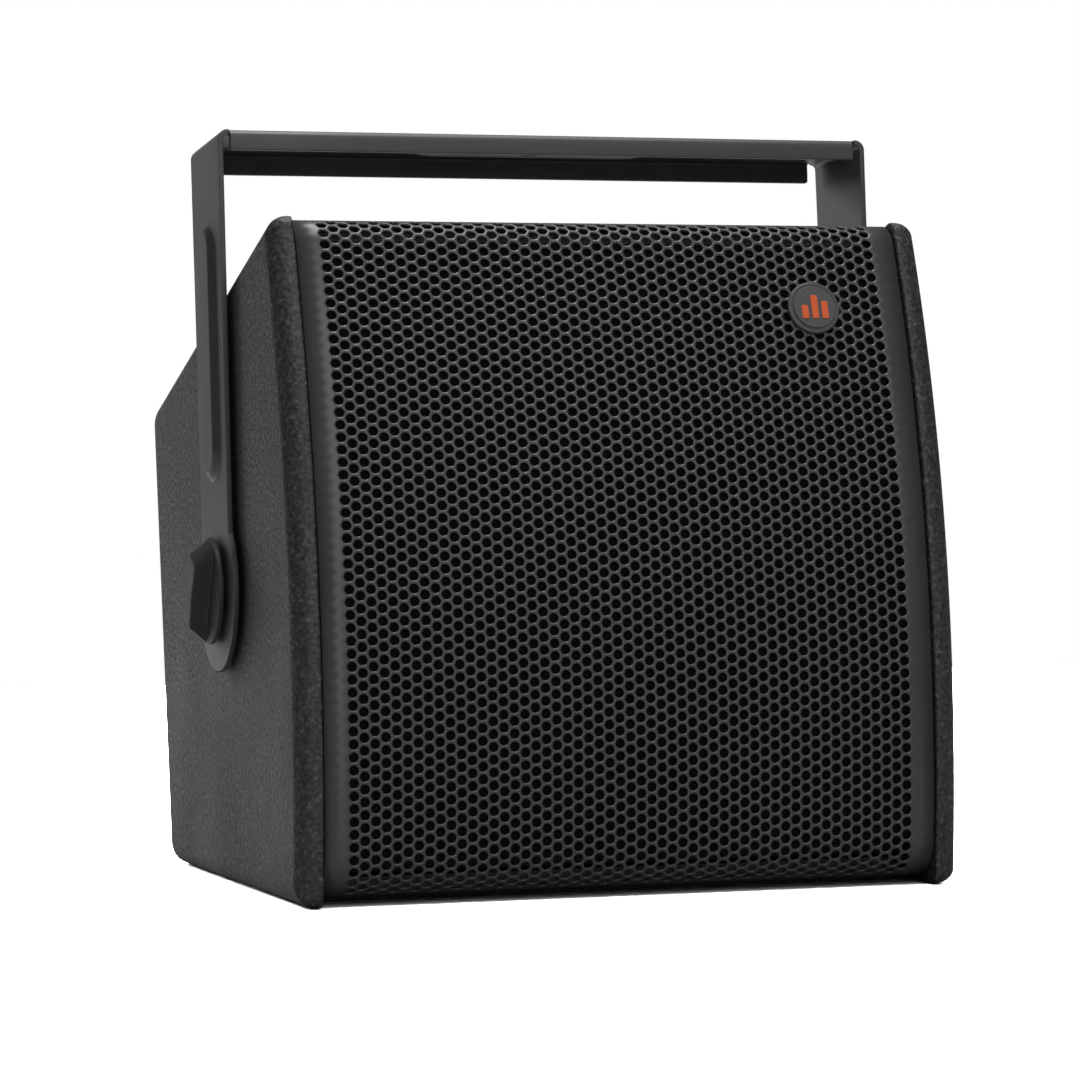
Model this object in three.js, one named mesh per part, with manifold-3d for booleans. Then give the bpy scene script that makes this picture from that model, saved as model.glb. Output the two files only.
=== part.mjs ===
// Stage monitor wedge: a plywood cabinet with a coaxial loudspeaker behind a curved steel grille, carried
// in a folded steel yoke. Millimetres, +Z up, front towards -Y. The origin is on the floor, midway between
// the sides, straight below the axis that the yoke turns on.
import * as THREE from 'three';
import { mergeVertices } from 'three/addons/utils/BufferGeometryUtils.js';
import Module from 'manifold-3d';

const wasm = await Module();
wasm.setup();

const deg = THREE.MathUtils.degToRad;

// ---- Driving dimensions -------------------------------------------------------------------------

const fitGap = 0.3; // left between pieces that touch

const cabinetWidth = 385;
const frontHeight = 390; // between the top and bottom faces, where the front is furthest forward
const cabinetDepth = 358; // furthest point of the front to the rear face
const bottomTaper = deg(8.07); // the cabinet stands on its tapered bottom, so this is its lean too
const topTaper = deg(8.68);
const sideThickness = 14.5;
const panelThickness = 14.5;
const sideEdgeRound = 12;
const rearCornerRadius = 15;
const pivotDepth = 161.5; // furthest point of the front to the yoke's axis

const grilleRadius = 824.4; // of the curved front, seen from the side
const grilleSheet = 1.5;
const grilleSideGap = 1;
const grilleFlange = 22; // length turned in over the top and under the bottom
const topBend = { taper: topTaper, radius: 18.5, sink: -grilleSheet - fitGap }; // lies on the panel
const bottomBend = { taper: bottomTaper, radius: 24.5, sink: 3.5 }; // let in to the panel
const sideProud = 2.5; // of the side panels' front edges, before the grille
const foamThickness = 8;

const badgeRadius = 15.5;
const badgeThickness = 2.2;
const badgeX = 122;
const badgeArc = 138; // up along the grille from its middle

const baffleClearance = 6.5; // behind the grille's bends
const baffleBorder = 15; // of baffle left round the driver's frame
const screwRadius = 2.5;
const screwHeadRadius = 4.5;
const screwHead = 3;
const screwClearance = 0.4;

const coilRadius = 38.6;
const coilWall = 1.2;
const magnetRadius = 85;
const hornThroat = 13;
const hornMouth = 56;

const portRadius = 24;
const portWall = 2.5;
const portFlange = 29;
const portLength = 90;

const dishWidth = 112;
const dishHeight = 64;
const dishDepth = 24;
const dishWall = 2;
const dishFlange = 12;
const dishRise = 7.6; // of the dish's flange above the bottom panel's inside
const socketRadius = 12;
const socketWell = 9.5;
const socketSpacing = 48;

const yokeSheet = 3;
const yokeSideGap = 3; // between each arm and the cabinet
const yokeLean = deg(4.2); // rearwards, at rest
const armLength = 263; // axis to the crossbar's upper face
const armTopWidth = 76;
const armLowWidth = 70;
const lobeRadius = 47;
const yokeBend = 6;
const frontFlange = 12; // of the crossbar
const rearFlange = 14.5;
const flangeBend = 4.5;
const ribLength = 141;
const ribWidth = 28;
const ribDepth = 3.2; // pressed outwards in each arm
const ribSlope = 4.5; // width of its sloping edge
const ribMiddle = 138.5; // above the axis
const padLength = 140;
const padWidth = 24;
const padDepth = 2.5; // pressed downwards in the crossbar
const padSlope = 3;
const yokeHole = 6.25;

const studRadius = 5;
const studClearance = 0.5;
const insertFlange = 28;
const insertBoss = 10;
const insertPlate = 4;
const spacerRadius = 30;
const washerRadius = 12;
const washerThickness = 1.5;
const knobRadius = 31;
const knobDisc = 3.6;
const knobGrip = 10.6; // height of the bar above the disc
const knobGripWidth = 17;
const gripHollow = 60; // radius of the bar's hollowed sides
const gripWaist = 1.4; // depth of the hollow in each side
const knobTurn = deg(25); // of the bar from upright, top towards the front

// ---- Places worked out from them, in the cabinet's frame -----------------------------------------
// The cabinet's frame has its origin on the yoke's axis, y rearwards and z along the front's height.

const frontY = -pivotDepth;
const rearY = cabinetDepth - pivotDepth;
const arcCentreY = frontY + grilleRadius;
const halfHeight = frontHeight / 2;
const halfWidth = cabinetWidth / 2;
const innerHalfWidth = halfWidth - sideThickness;
const pivotHeight = (halfHeight - pivotDepth * Math.tan(bottomTaper)) * Math.cos(bottomTaper);

// Height of the top face, or of the bottom face with sign -1, at a depth y, and depth mm inside it.
const faceAt = (sign, y, depth = 0) => {
  const taper = sign > 0 ? topTaper : bottomTaper;
  return sign * (halfHeight - (y - frontY) * Math.tan(taper) - depth / Math.cos(taper));
};

// Where an arc about the front's centre meets a circle of the bend's radius set below a tapered face.
const bendAngle = (taper, arcRadius, depth) => {
  const reach = halfHeight * Math.cos(taper) - grilleRadius * Math.sin(taper) - depth;
  return taper + Math.asin(reach / arcRadius);
};

for (const bend of [topBend, bottomBend]) {
  const centreRadius = grilleRadius - bend.radius;
  bend.angle = bendAngle(bend.taper, centreRadius, bend.radius + bend.sink);
  bend.y = arcCentreY - centreRadius * Math.cos(bend.angle);
  bend.z = centreRadius * Math.sin(bend.angle);
}

const panelFrontStep = 4; // panels start this far behind the bends' centres
const topFrontY = topBend.y + panelFrontStep;
const bottomFrontY = bottomBend.y + panelFrontStep;
const baffleY = Math.max(topBend.y, bottomBend.y) + baffleClearance;
const baffleBackY = baffleY + panelThickness;
const baffleTop = faceAt(1, baffleBackY, panelThickness + fitGap);
const baffleBottom = faceAt(-1, baffleBackY, panelThickness + fitGap);
const frameRadius = Math.min(innerHalfWidth, baffleTop, -baffleBottom) - baffleBorder;
const cutoutRadius = frameRadius - 16;

// ---- Solids --------------------------------------------------------------------------------------

const weld = (geometry) => {
  geometry.deleteAttribute('normal');
  geometry.deleteAttribute('uv');
  const merged = mergeVertices(geometry, 1e-4);
  const corners = merged.index.array;
  const kept = [];
  for (let i = 0; i < corners.length; i += 3) {
    const [a, b, c] = corners.slice(i, i + 3);
    if (a !== b && b !== c && c !== a) kept.push(a, b, c);
  }
  merged.setIndex(kept);
  return merged;
};

const toSolid = (geometry) => {
  const welded = weld(geometry);
  const vertProperties = new Float32Array(welded.getAttribute('position').array);
  const triVerts = new Uint32Array(welded.index.array);
  return new wasm.Manifold(new wasm.Mesh({ numProp: 3, vertProperties, triVerts }));
};

const toGeometry = (solid) => {
  const mesh = solid.getMesh();
  const geometry = new THREE.BufferGeometry();
  geometry.setAttribute('position', new THREE.BufferAttribute(new Float32Array(mesh.vertProperties), 3));
  geometry.setIndex(new THREE.BufferAttribute(new Uint32Array(mesh.triVerts), 1));
  return geometry;
};

// Corners of an outline as [u, v, fillet radius]; gives the outline's points with the fillets as arcs.
const outline = (corners, steps = 6) => {
  const points = [];
  corners.forEach(([u, v, radius = 0], i) => {
    const here = new THREE.Vector2(u, v);
    if (radius === 0) {
      points.push(here);
      return;
    }
    const before = corners.at(i - 1);
    const after = corners[(i + 1) % corners.length];
    const back = new THREE.Vector2(before[0], before[1]).sub(here).normalize();
    const on = new THREE.Vector2(after[0], after[1]).sub(here).normalize();
    const half = Math.acos(THREE.MathUtils.clamp(back.dot(on), -1, 1)) / 2;
    const middle = back.clone().add(on).normalize().multiplyScalar(radius / Math.sin(half));
    const centre = here.clone().add(middle);
    const first = here.clone().addScaledVector(back, radius / Math.tan(half)).sub(centre);
    const last = here.clone().addScaledVector(on, radius / Math.tan(half)).sub(centre);
    const sweep = Math.atan2(first.cross(last), first.dot(last));
    for (let k = 0; k <= steps; k += 1) {
      points.push(first.clone().rotateAround(new THREE.Vector2(), (sweep * k) / steps).add(centre));
    }
  });
  return points;
};

const arcPoints = (centreU, centreV, radius, from, to, steps) => {
  const points = [];
  for (let k = 0; k <= steps; k += 1) {
    const angle = from + ((to - from) * k) / steps;
    points.push([centreU + radius * Math.cos(angle), centreV + radius * Math.sin(angle)]);
  }
  return points;
};

const axisX = new THREE.Vector3(1, 0, 0);
const axisY = new THREE.Vector3(0, 1, 0);
const axisZ = new THREE.Vector3(0, 0, 1);
const profileYZ = new THREE.Matrix4().makeBasis(axisY, axisZ, axisX);
const profileXZ = new THREE.Matrix4().makeBasis(axisX, axisZ, axisY.clone().negate());

// A prism of a y-z outline between two places along x.
const prismX = (corners, fromX, toX, steps) => {
  const shape = new THREE.Shape(outline(corners, steps));
  const geometry = new THREE.ExtrudeGeometry(shape, { depth: toX - fromX, bevelEnabled: false });
  return toSolid(geometry.applyMatrix4(profileYZ).translate(fromX, 0, 0));
};

// A prism of an x-z outline between two places along y.
const prismY = (corners, fromY, toY, steps) => {
  const shape = new THREE.Shape(outline(corners, steps));
  const geometry = new THREE.ExtrudeGeometry(shape, { depth: toY - fromY, bevelEnabled: false });
  return toSolid(geometry.applyMatrix4(profileXZ).translate(0, toY, 0));
};

const box = (fromX, toX, fromY, toY, fromZ, toZ) => {
  const geometry = new THREE.BoxGeometry(toX - fromX, toY - fromY, toZ - fromZ);
  return toSolid(geometry.translate((fromX + toX) / 2, (fromY + toY) / 2, (fromZ + toZ) / 2));
};

// A turned piece from closed [radius, place along the axis] corners; the axis is y, x or z.
const turned = (corners, axis = 'y', segments = 24) => {
  const points = corners.map(([radius, along]) => new THREE.Vector2(radius, along));
  points.push(points[0].clone());
  const geometry = new THREE.LatheGeometry(points, segments);
  if (axis === 'x') geometry.rotateZ(-Math.PI / 2);
  if (axis === 'z') geometry.rotateX(Math.PI / 2);
  const solid = toSolid(geometry);
  return solid.volume() > 0 ? solid : toSolid(geometry.scale(1, 1, -1));
};

const rod = (radius, from, to, axis, segments = 16) => {
  const corners = [[0, from], [radius, from], [radius, to], [0, to]];
  return turned(corners, axis, segments);
};

const ring = (inner, outer, from, to, axis, segments = 24) => {
  const corners = [[inner, from], [outer, from], [outer, to], [inner, to]];
  return turned(corners, axis, segments);
};

const paint = (color, roughness, metalness = 0) =>
  new THREE.MeshStandardMaterial({ color, roughness, metalness });

const finishes = {
  texturedPaint: paint(0x2b2b2d, 0.75),
  powderCoat: paint(0x242527, 0.45, 0.3),
  birchPly: paint(0xb9966a, 0.8),
  foam: paint(0x0b0b0c, 0.98),
  badgePlastic: paint(0x3c3d40, 0.5),
  badgeOrange: paint(0xd0571a, 0.5),
  castAlloy: paint(0x3a3b3d, 0.5, 0.6),
  zincSteel: paint(0xb7b9bc, 0.35, 0.9),
  ferrite: paint(0x1f2022, 0.6, 0.2),
  coneFibre: paint(0x1b1b1c, 0.9),
  rubber: paint(0x151516, 0.85),
  spiderCloth: paint(0xa9772f, 0.9),
  copper: paint(0xb8693b, 0.4, 0.9),
  moulded: paint(0x161617, 0.55),
  board: paint(0x2f6b3f, 0.6),
  capacitor: paint(0x9a8f3a, 0.5),
};

const named = (name, solid, finish) => {
  const mesh = new THREE.Mesh(toGeometry(solid), finish);
  mesh.name = name;
  return mesh;
};

const sides = [['left', -1], ['right', 1]];
const group = new THREE.Group();
const cabinet = new THREE.Group();
cabinet.position.z = pivotHeight;
cabinet.rotation.x = -bottomTaper;
group.add(cabinet);

// ---- Cabinet shell -------------------------------------------------------------------------------

const sideOutline = () => {
  const radius = grilleRadius + sideProud;
  const topAngle = bendAngle(topTaper, radius, 0);
  const bottomAngle = bendAngle(bottomTaper, radius, 0);
  const front = arcPoints(arcCentreY, 0, radius, Math.PI - topAngle, Math.PI + bottomAngle, 14);
  return [
    ...front,
    [rearY, faceAt(-1, rearY), rearCornerRadius],
    [rearY, faceAt(1, rearY), rearCornerRadius],
  ];
};

const sidePanel = (side) => {
  const shape = new THREE.Shape(outline(sideOutline(), 4));
  const geometry = new THREE.ExtrudeGeometry(shape, {
    depth: sideThickness,
    bevelThickness: sideEdgeRound,
    bevelSize: sideEdgeRound,
    bevelOffset: -sideEdgeRound,
    bevelSegments: 3,
  });
  geometry.applyMatrix4(profileYZ).translate(halfWidth - sideThickness - sideEdgeRound, 0, 0);
  const reach = cabinetDepth + frontHeight;
  const inside = box(0, innerHalfWidth, -reach, reach, -reach, reach);
  const bore = rod(insertBoss + fitGap, 0, halfWidth + 1, 'x', 20);
  const panel = toSolid(geometry).subtract(inside).subtract(bore);
  return side > 0 ? panel : panel.mirror([1, 0, 0]);
};

for (const [name, side] of sides) {
  cabinet.add(named(`${name}_side_panel`, sidePanel(side), finishes.texturedPaint));
}

const panelEnd = innerHalfWidth - fitGap;
const grilleScrewX = 118;
const grilleScrewBack = 9; // from the flange's rear end
const grilleScrewHead = 1.6;

// The rebate that the grille's turned-in flange lies in, on the top (sign 1) or bottom (sign -1).
const rebate = (sign) => {
  const bend = sign > 0 ? topBend : bottomBend;
  return {
    floor: bend.sink + grilleSheet + fitGap,
    end: bend.y + bend.radius * Math.sin(bend.taper) + grilleFlange + 1.5,
  };
};

// A frame lying on the tapered face at the grille's screws: z out of the face.
const screwFrame = (sign, x) => {
  const { end } = rebate(sign);
  const y = end - grilleScrewBack;
  const frame = new THREE.Matrix4().makeRotationX(sign > 0 ? -topTaper : Math.PI + bottomTaper);
  return frame.setPosition(x, y, faceAt(sign, y));
};

const placed = (solid, matrix) => solid.transform(matrix.toArray());

const grilleScrewHoles = (solid) => {
  let cut = solid;
  for (const sign of [1, -1]) {
    for (const x of [-grilleScrewX, grilleScrewX]) {
      const hole = rod(screwRadius + screwClearance, -panelThickness - 4, 4, 'z', 8);
      cut = cut.subtract(placed(hole, screwFrame(sign, x)));
    }
  }
  return cut;
};

const tapered = (sign) => {
  const { floor, end } = rebate(sign);
  const startY = sign > 0 ? topFrontY : bottomFrontY;
  const letIn = [
    [startY, faceAt(sign, startY, floor)],
    [end, faceAt(sign, end, floor)],
    [end, faceAt(sign, end)],
  ];
  const corners = [
    [startY, faceAt(sign, startY, panelThickness)],
    ...(floor > 0 ? letIn : [[startY, faceAt(sign, startY)]]),
    [rearY, faceAt(sign, rearY), rearCornerRadius],
    [rearY, faceAt(sign, rearY, panelThickness)],
  ];
  const solid = prismX(sign > 0 ? corners.reverse() : corners, -panelEnd, panelEnd, 5);
  return grilleScrewHoles(solid);
};

cabinet.add(named('top_panel', tapered(1), finishes.texturedPaint));
cabinet.add(named('bottom_panel', tapered(-1), finishes.texturedPaint));

const rearInnerY = rearY - panelThickness;
const plateHalfX = dishWidth / 2 + dishFlange;
const plateHalfZ = dishHeight / 2 + dishFlange;
const dishZ = faceAt(-1, rearY, panelThickness) + dishRise + plateHalfZ;
const plateScrews = [-1, 1].flatMap((u) => [-1, 1].map((v) => {
  const x = u * (plateHalfX - dishFlange / 2);
  const z = dishZ + v * (plateHalfZ - dishFlange / 2);
  return [x, z];
}));

const rearPanel = () => {
  const top = faceAt(1, rearY, panelThickness + fitGap);
  const bottom = faceAt(-1, rearY, panelThickness + fitGap);
  const slab = box(-panelEnd, panelEnd, rearInnerY, rearY, bottom, top);
  const halfX = dishWidth / 2 + fitGap;
  const halfZ = dishHeight / 2 + fitGap;
  let panel = slab.subtract(box(-halfX, halfX, rearInnerY - 1, rearY + 1, dishZ - halfZ, dishZ + halfZ));
  for (const [x, z] of plateScrews) {
    const hole = rod(screwRadius + screwClearance, rearInnerY - 1, rearY + 1, 'y', 8);
    panel = panel.subtract(hole.translate([x, 0, z]));
  }
  return panel;
};

cabinet.add(named('rear_panel', rearPanel(), finishes.texturedPaint));

// ---- Grille, foam and badge ----------------------------------------------------------------------

// The grille's path from the rear end of its top flange to that of its bottom flange, inset by a depth.
const grillePath = (inset) => {
  const direction = { top: Math.PI / 2 - topTaper, bottom: -Math.PI / 2 + bottomTaper };
  const top = topBend.radius - inset;
  const bottom = bottomBend.radius - inset;
  const bentTop = arcPoints(topBend.y, topBend.z, top, direction.top, Math.PI - topBend.angle, 6);
  const front = arcPoints(
    arcCentreY, 0, grilleRadius - inset, Math.PI - topBend.angle, Math.PI + bottomBend.angle, 16);
  const bentBottom = arcPoints(
    bottomBend.y, -bottomBend.z, bottom, Math.PI + bottomBend.angle, 2 * Math.PI + direction.bottom, 6);
  const [topY, topZ] = bentTop[0];
  const [bottomY, bottomZ] = bentBottom.at(-1);
  const topEnd = [topY + grilleFlange * Math.cos(topTaper), topZ - grilleFlange * Math.sin(topTaper)];
  const bottomEnd = [
    bottomY + grilleFlange * Math.cos(bottomTaper),
    bottomZ + grilleFlange * Math.sin(bottomTaper),
  ];
  return [topEnd, ...bentTop, ...front.slice(1, -1), ...bentBottom, bottomEnd];
};

const grilleHalf = innerHalfWidth - grilleSideGap;
const grilleSheetSolid = () => {
  const corners = [...grillePath(0), ...grillePath(grilleSheet).reverse()];
  return grilleScrewHoles(prismX(corners, -grilleHalf, grilleHalf));
};

cabinet.add(named('grille', grilleSheetSolid(), finishes.powderCoat));

const foamSolid = () => {
  const outer = grilleRadius - grilleSheet - fitGap;
  const inner = outer - foamThickness;
  const top = Math.PI - topBend.angle;
  const bottom = Math.PI + bottomBend.angle;
  const corners = [
    ...arcPoints(arcCentreY, 0, outer, top, bottom, 12),
    ...arcPoints(arcCentreY, 0, inner, bottom, top, 12),
  ];
  const side = grilleHalf - 3;
  return prismX(corners, -side, side);
};

cabinet.add(named('grille_foam', foamSolid(), finishes.foam));

// The badge's frame: z out of the grille, x across it.
const badgeAngle = badgeArc / grilleRadius;
const badge = new THREE.Group();
const badgePlace = grilleRadius + fitGap;
badge.position.set(
  badgeX, arcCentreY - badgePlace * Math.cos(badgeAngle), badgePlace * Math.sin(badgeAngle));
badge.rotation.x = Math.PI / 2 - badgeAngle;
cabinet.add(badge);

const badgeDisc = () => {
  const rim = 0.8;
  const corners = [
    [0, 0],
    [badgeRadius, 0],
    [badgeRadius, badgeThickness - rim],
    [badgeRadius - rim, badgeThickness],
    [0, badgeThickness],
  ];
  return turned(corners, 'z', 28);
};

const markRadius = 12.5;
const markCarrier = 0.4;
const markHeight = 0.5;
const barWidth = 4;
const barFoot = -7; // of the bars, from the badge's middle
const markBars = [[-6, 8], [0, 14], [6, 10.5]]; // place across the badge, and length

const badgeMark = () => {
  let mark = rod(markRadius, badgeThickness + fitGap, badgeThickness + fitGap + markCarrier, 'z', 20);
  const foot = badgeThickness + fitGap + markCarrier / 2;
  const top = badgeThickness + fitGap + markCarrier + markHeight;
  for (const [x, length] of markBars) {
    mark = mark.add(box(x - barWidth / 2, x + barWidth / 2, barFoot, barFoot + length, foot, top));
  }
  return mark;
};

badge.add(named('badge_disc', badgeDisc(), finishes.badgePlastic));
badge.add(named('badge_mark', badgeMark(), finishes.badgeOrange));

// A pan-head screw along +z whose head stands on z = 0.
const screw = (headRadius, head, length) => {
  const corners = [
    [0, -length],
    [screwRadius - 0.8, -length],
    [screwRadius, -length + 2],
    [screwRadius, 0],
    [headRadius, 0],
    [headRadius, head * 0.5],
    [headRadius * 0.7, head],
    [0, head],
  ];
  return turned(corners, 'z', 8);
};

let grilleScrewCount = 0;
for (const sign of [1, -1]) {
  const bend = sign > 0 ? topBend : bottomBend;
  for (const x of [-grilleScrewX, grilleScrewX]) {
    grilleScrewCount += 1;
    const lifted = screw(4, grilleScrewHead, 12).translate([0, 0, fitGap - bend.sink]);
    const solid = placed(lifted, screwFrame(sign, x));
    cabinet.add(named(`grille_screw_${grilleScrewCount}`, solid, finishes.zincSteel));
  }
}

// ---- Baffle and ports ----------------------------------------------------------------------------

const driverScrewRadius = frameRadius - 8.5;
const driverScrews = [45, 135, 225, 315].map((angle) => {
  const turn = deg(angle);
  return [driverScrewRadius * Math.cos(turn), driverScrewRadius * Math.sin(turn)];
});
const portMargin = 4;
const portX = innerHalfWidth - portFlange - portMargin;
const portEndY = baffleY + portLength;
const portZ = Math.max(
  baffleBottom + portFlange + portMargin,
  faceAt(-1, portEndY, panelThickness) + portRadius + portWall + portMargin);

const baffle = () => {
  let panel = box(-panelEnd, panelEnd, baffleY, baffleBackY, baffleBottom, baffleTop);
  panel = panel.subtract(rod(cutoutRadius, baffleY - 1, baffleBackY + 1, 'y', 48));
  for (const [x, z] of driverScrews) {
    const hole = rod(screwRadius + screwClearance, baffleY - 1, baffleBackY + 1, 'y', 8);
    panel = panel.subtract(hole.translate([x, 0, z]));
  }
  for (const [, side] of sides) {
    const hole = rod(portRadius + portWall + fitGap, baffleY - 1, baffleBackY + 1, 'y', 24);
    panel = panel.subtract(hole.translate([side * portX, 0, portZ]));
  }
  return panel;
};

cabinet.add(named('front_baffle', baffle(), finishes.birchPly));

const portTube = () => {
  const front = baffleY - fitGap;
  const corners = [
    [portRadius, front + 4],
    [portRadius + 3.4, front - 3],
    [portFlange, front - 3],
    [portFlange, front],
    [portRadius + portWall, front],
    [portRadius + portWall, front + portLength],
    [portRadius, front + portLength],
  ];
  return turned(corners);
};

for (const [name, side] of sides) {
  const tube = named(`${name}_port_tube`, portTube(), finishes.moulded);
  tube.position.set(side * portX, 0, portZ);
  cabinet.add(tube);
}

// ---- Coaxial driver: places along y from the baffle's front face ---------------------------------

const driver = new THREE.Group();
driver.position.y = baffleY;
cabinet.add(driver);

const frameFlange = 8;
const frameInner = frameRadius - 25;
const frameDepth = 82;
const framePlate = 6;
const frameHub = 82;
const coneEdge = frameInner - 20;
const coneFront = -6;
const coneBack = 38;
const surroundGap = 0.4;
const wooferSides = 32; // all the turned pieces that fit inside one another have as many facets

const wooferFrame = () => {
  const wall = 6;
  const corners = [
    [frameInner, -frameFlange],
    [frameRadius, -frameFlange],
    [frameRadius, -fitGap],
    [cutoutRadius - 1.5, -fitGap],
    [frameHub, frameDepth - framePlate - 4],
    [frameHub, frameDepth],
    [coilRadius + 6, frameDepth],
    [coilRadius + 6, frameDepth - framePlate],
    [frameHub - wall, frameDepth - framePlate],
    [frameInner, 4],
  ];
  let frame = turned(corners, 'y', wooferSides);
  const windows = 6;
  for (let k = 0; k < windows; k += 1) {
    const window = box(-26, 26, 14, frameDepth - 18, frameHub - 12, frameRadius + 5);
    frame = frame.subtract(window.rotate([0, (360 * (k + 0.5)) / windows, 0]));
  }
  for (const [x, z] of driverScrews) {
    const hole = rod(screwRadius + screwClearance, -frameFlange - 1, 1, 'y', 16);
    frame = frame.subtract(hole.translate([x, 0, z]));
  }
  return frame;
};

driver.add(named('woofer_frame', wooferFrame(), finishes.castAlloy));

const gasketBack = -frameFlange - fitGap;
const gasket = ring(frameInner + 2, frameRadius - 15, gasketBack - 2, gasketBack, 'y', wooferSides);
driver.add(named('woofer_gasket', gasket, finishes.rubber));

const surround = () => {
  const inner = coneEdge + surroundGap;
  const outer = frameInner - surroundGap;
  const middle = (inner + outer) / 2;
  const roll = (outer - inner) / 2;
  const skin = 1.2;
  return turned([
    ...arcPoints(middle, coneFront, roll, 0, -Math.PI, 5),
    ...arcPoints(middle, coneFront, roll - skin, -Math.PI, 0, 5),
  ], 'y', wooferSides);
};

driver.add(named('woofer_surround', surround(), finishes.rubber));

const cone = () => {
  const skin = 1.4;
  const neck = coilRadius + 0.1;
  return turned([
    [coneEdge, coneFront],
    [coneEdge, coneFront + skin],
    [(coneEdge + neck) / 2 - 5, (coneFront + coneBack) / 2 + skin + 2],
    [neck, coneBack + skin],
    [neck, coneBack],
    [(coneEdge + neck) / 2 - 4, (coneFront + coneBack) / 2],
  ], 'y', wooferSides);
};

driver.add(named('woofer_cone', cone(), finishes.coneFibre));

const coil = ring(coilRadius - coilWall, coilRadius - fitGap, 32, 92, 'y');
driver.add(named('voice_coil', coil, finishes.copper));

const spider = () => {
  const inner = coilRadius + surroundGap;
  const outer = frameHub - 2;
  const ridges = 3;
  const front = [];
  for (let k = 0; k <= 2 * ridges; k += 1) {
    const radius = inner + ((outer - inner) * k) / (2 * ridges);
    front.push([radius, k % 2 === 0 ? 52 : 55]);
  }
  const back = front.map(([radius, along]) => [radius, along + 1]).reverse();
  return turned([...front, ...back]);
};

driver.add(named('woofer_spider', spider(), finishes.spiderCloth));

const topPlateFront = frameDepth + fitGap;
const topPlateBack = topPlateFront + 8;
const magnetFront = topPlateBack + fitGap;
const magnetBack = magnetFront + 20;
const backPlateFront = magnetBack + fitGap;
const backPlateBack = backPlateFront + 10;
const poleRadius = coilRadius - coilWall - 0.7;

const topPlate = ring(coilRadius + 0.7, magnetRadius - 13, topPlateFront, topPlateBack, 'y');
driver.add(named('top_plate', topPlate, finishes.zincSteel));
const magnet = ring(coilRadius + 12, magnetRadius, magnetFront, magnetBack, 'y');
driver.add(named('magnet', magnet, finishes.ferrite));

const backPlate = turned([
  [hornThroat, frameDepth],
  [poleRadius, frameDepth],
  [poleRadius, backPlateFront],
  [magnetRadius - 5, backPlateFront],
  [magnetRadius - 5, backPlateBack],
  [hornThroat, backPlateBack],
]);
driver.add(named('back_plate', backPlate, finishes.zincSteel));

const horn = () => {
  const front = -2;
  const back = frameDepth - fitGap;
  const wall = 2.5;
  const steps = 4;
  const flare = [];
  for (let k = 0; k <= steps; k += 1) {
    const along = front + ((back - front) * k) / steps;
    const share = (back - along) / (back - front);
    flare.push([hornThroat + (hornMouth - hornThroat) * share ** 2.4, along]);
  }
  const outside = flare.map(([radius, along]) => [radius + wall, along]).reverse();
  return turned([...flare, ...outside]);
};

driver.add(named('horn_flare', horn(), finishes.moulded));

const hfRadius = 45;
const hfFront = backPlateBack + fitGap;
const hfBack = hfFront + 26;
driver.add(named('hf_magnet', ring(hornThroat, hfRadius, hfFront, hfBack, 'y'), finishes.ferrite));

const hfDome = turned([
  [0, hfBack + 3.2],
  [14, hfBack + 2],
  [24, hfBack + fitGap],
  [28, hfBack + fitGap],
  [28, hfBack + 1],
  [24.4, hfBack + 1],
  [14.2, hfBack + 2.9],
  [0, hfBack + 4.2],
], 'y', 20);
driver.add(named('hf_diaphragm', hfDome, finishes.copper));

const hfCover = turned([
  [29, hfBack + fitGap],
  [hfRadius - 2, hfBack + fitGap],
  [hfRadius - 2, hfBack + 14],
  [hfRadius - 6, hfBack + 18],
  [0, hfBack + 18],
  [0, hfBack + 14],
  [hfRadius - 8, hfBack + 14],
  [hfRadius - 6, hfBack + 4],
  [29, hfBack + 4],
]);
driver.add(named('hf_rear_cover', hfCover, finishes.moulded));

driverScrews.forEach(([x, z], i) => {
  const solid = screw(screwHeadRadius, screwHead, 20).rotate([90, 0, 0]);
  const mesh = named(`driver_screw_${i + 1}`, solid, finishes.zincSteel);
  mesh.position.set(x, -frameFlange - fitGap, z);
  driver.add(mesh);
});

// ---- Crossover on the bottom panel ---------------------------------------------------------------

const boardWidth = 170;
const boardDepth = 100;
const boardSheet = 2;
const boardLift = 8;
const boardY = rearInnerY - boardDepth / 2 - 40;

const crossover = new THREE.Group();
crossover.position.set(0, boardY, faceAt(-1, boardY, panelThickness));
crossover.rotation.x = bottomTaper;
cabinet.add(crossover);

const board = () => {
  const halfX = boardWidth / 2;
  const halfY = boardDepth / 2;
  let solid = box(-halfX, halfX, -halfY, halfY, boardLift, boardLift + boardSheet);
  for (const x of [-1, 1]) {
    for (const y of [-1, 1]) {
      const post = rod(4, fitGap, boardLift + boardSheet / 2, 'z', 16);
      solid = solid.add(post.translate([x * (halfX - 8), y * (halfY - 8), 0]));
    }
  }
  return solid;
};

crossover.add(named('crossover_board', board(), finishes.board));

const boardTop = boardLift + boardSheet + fitGap;
const inductors = [[-50, 18, 30, 24], [48, 22, 22, 18]]; // x, y, radius, height
inductors.forEach(([x, y, radius, height], i) => {
  const solid = ring(radius * 0.45, radius, boardTop, boardTop + height, 'z', 20);
  const mesh = named(`inductor_${i + 1}`, solid, finishes.copper);
  mesh.position.set(x, y, 0);
  crossover.add(mesh);
});

const capacitors = [[-45, -32, 10], [15, -32, 9]]; // x, y, radius
capacitors.forEach(([x, y, radius], i) => {
  const solid = rod(radius, -20, 20, 'x');
  const mesh = named(`capacitor_${i + 1}`, solid, finishes.capacitor);
  mesh.position.set(x, y, boardTop + radius);
  crossover.add(mesh);
});

// ---- Connector dish in the rear panel ------------------------------------------------------------

const dishFloorY = rearY - dishDepth;
const plateBackY = rearY + fitGap;
const plateSheet = 2;

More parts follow.
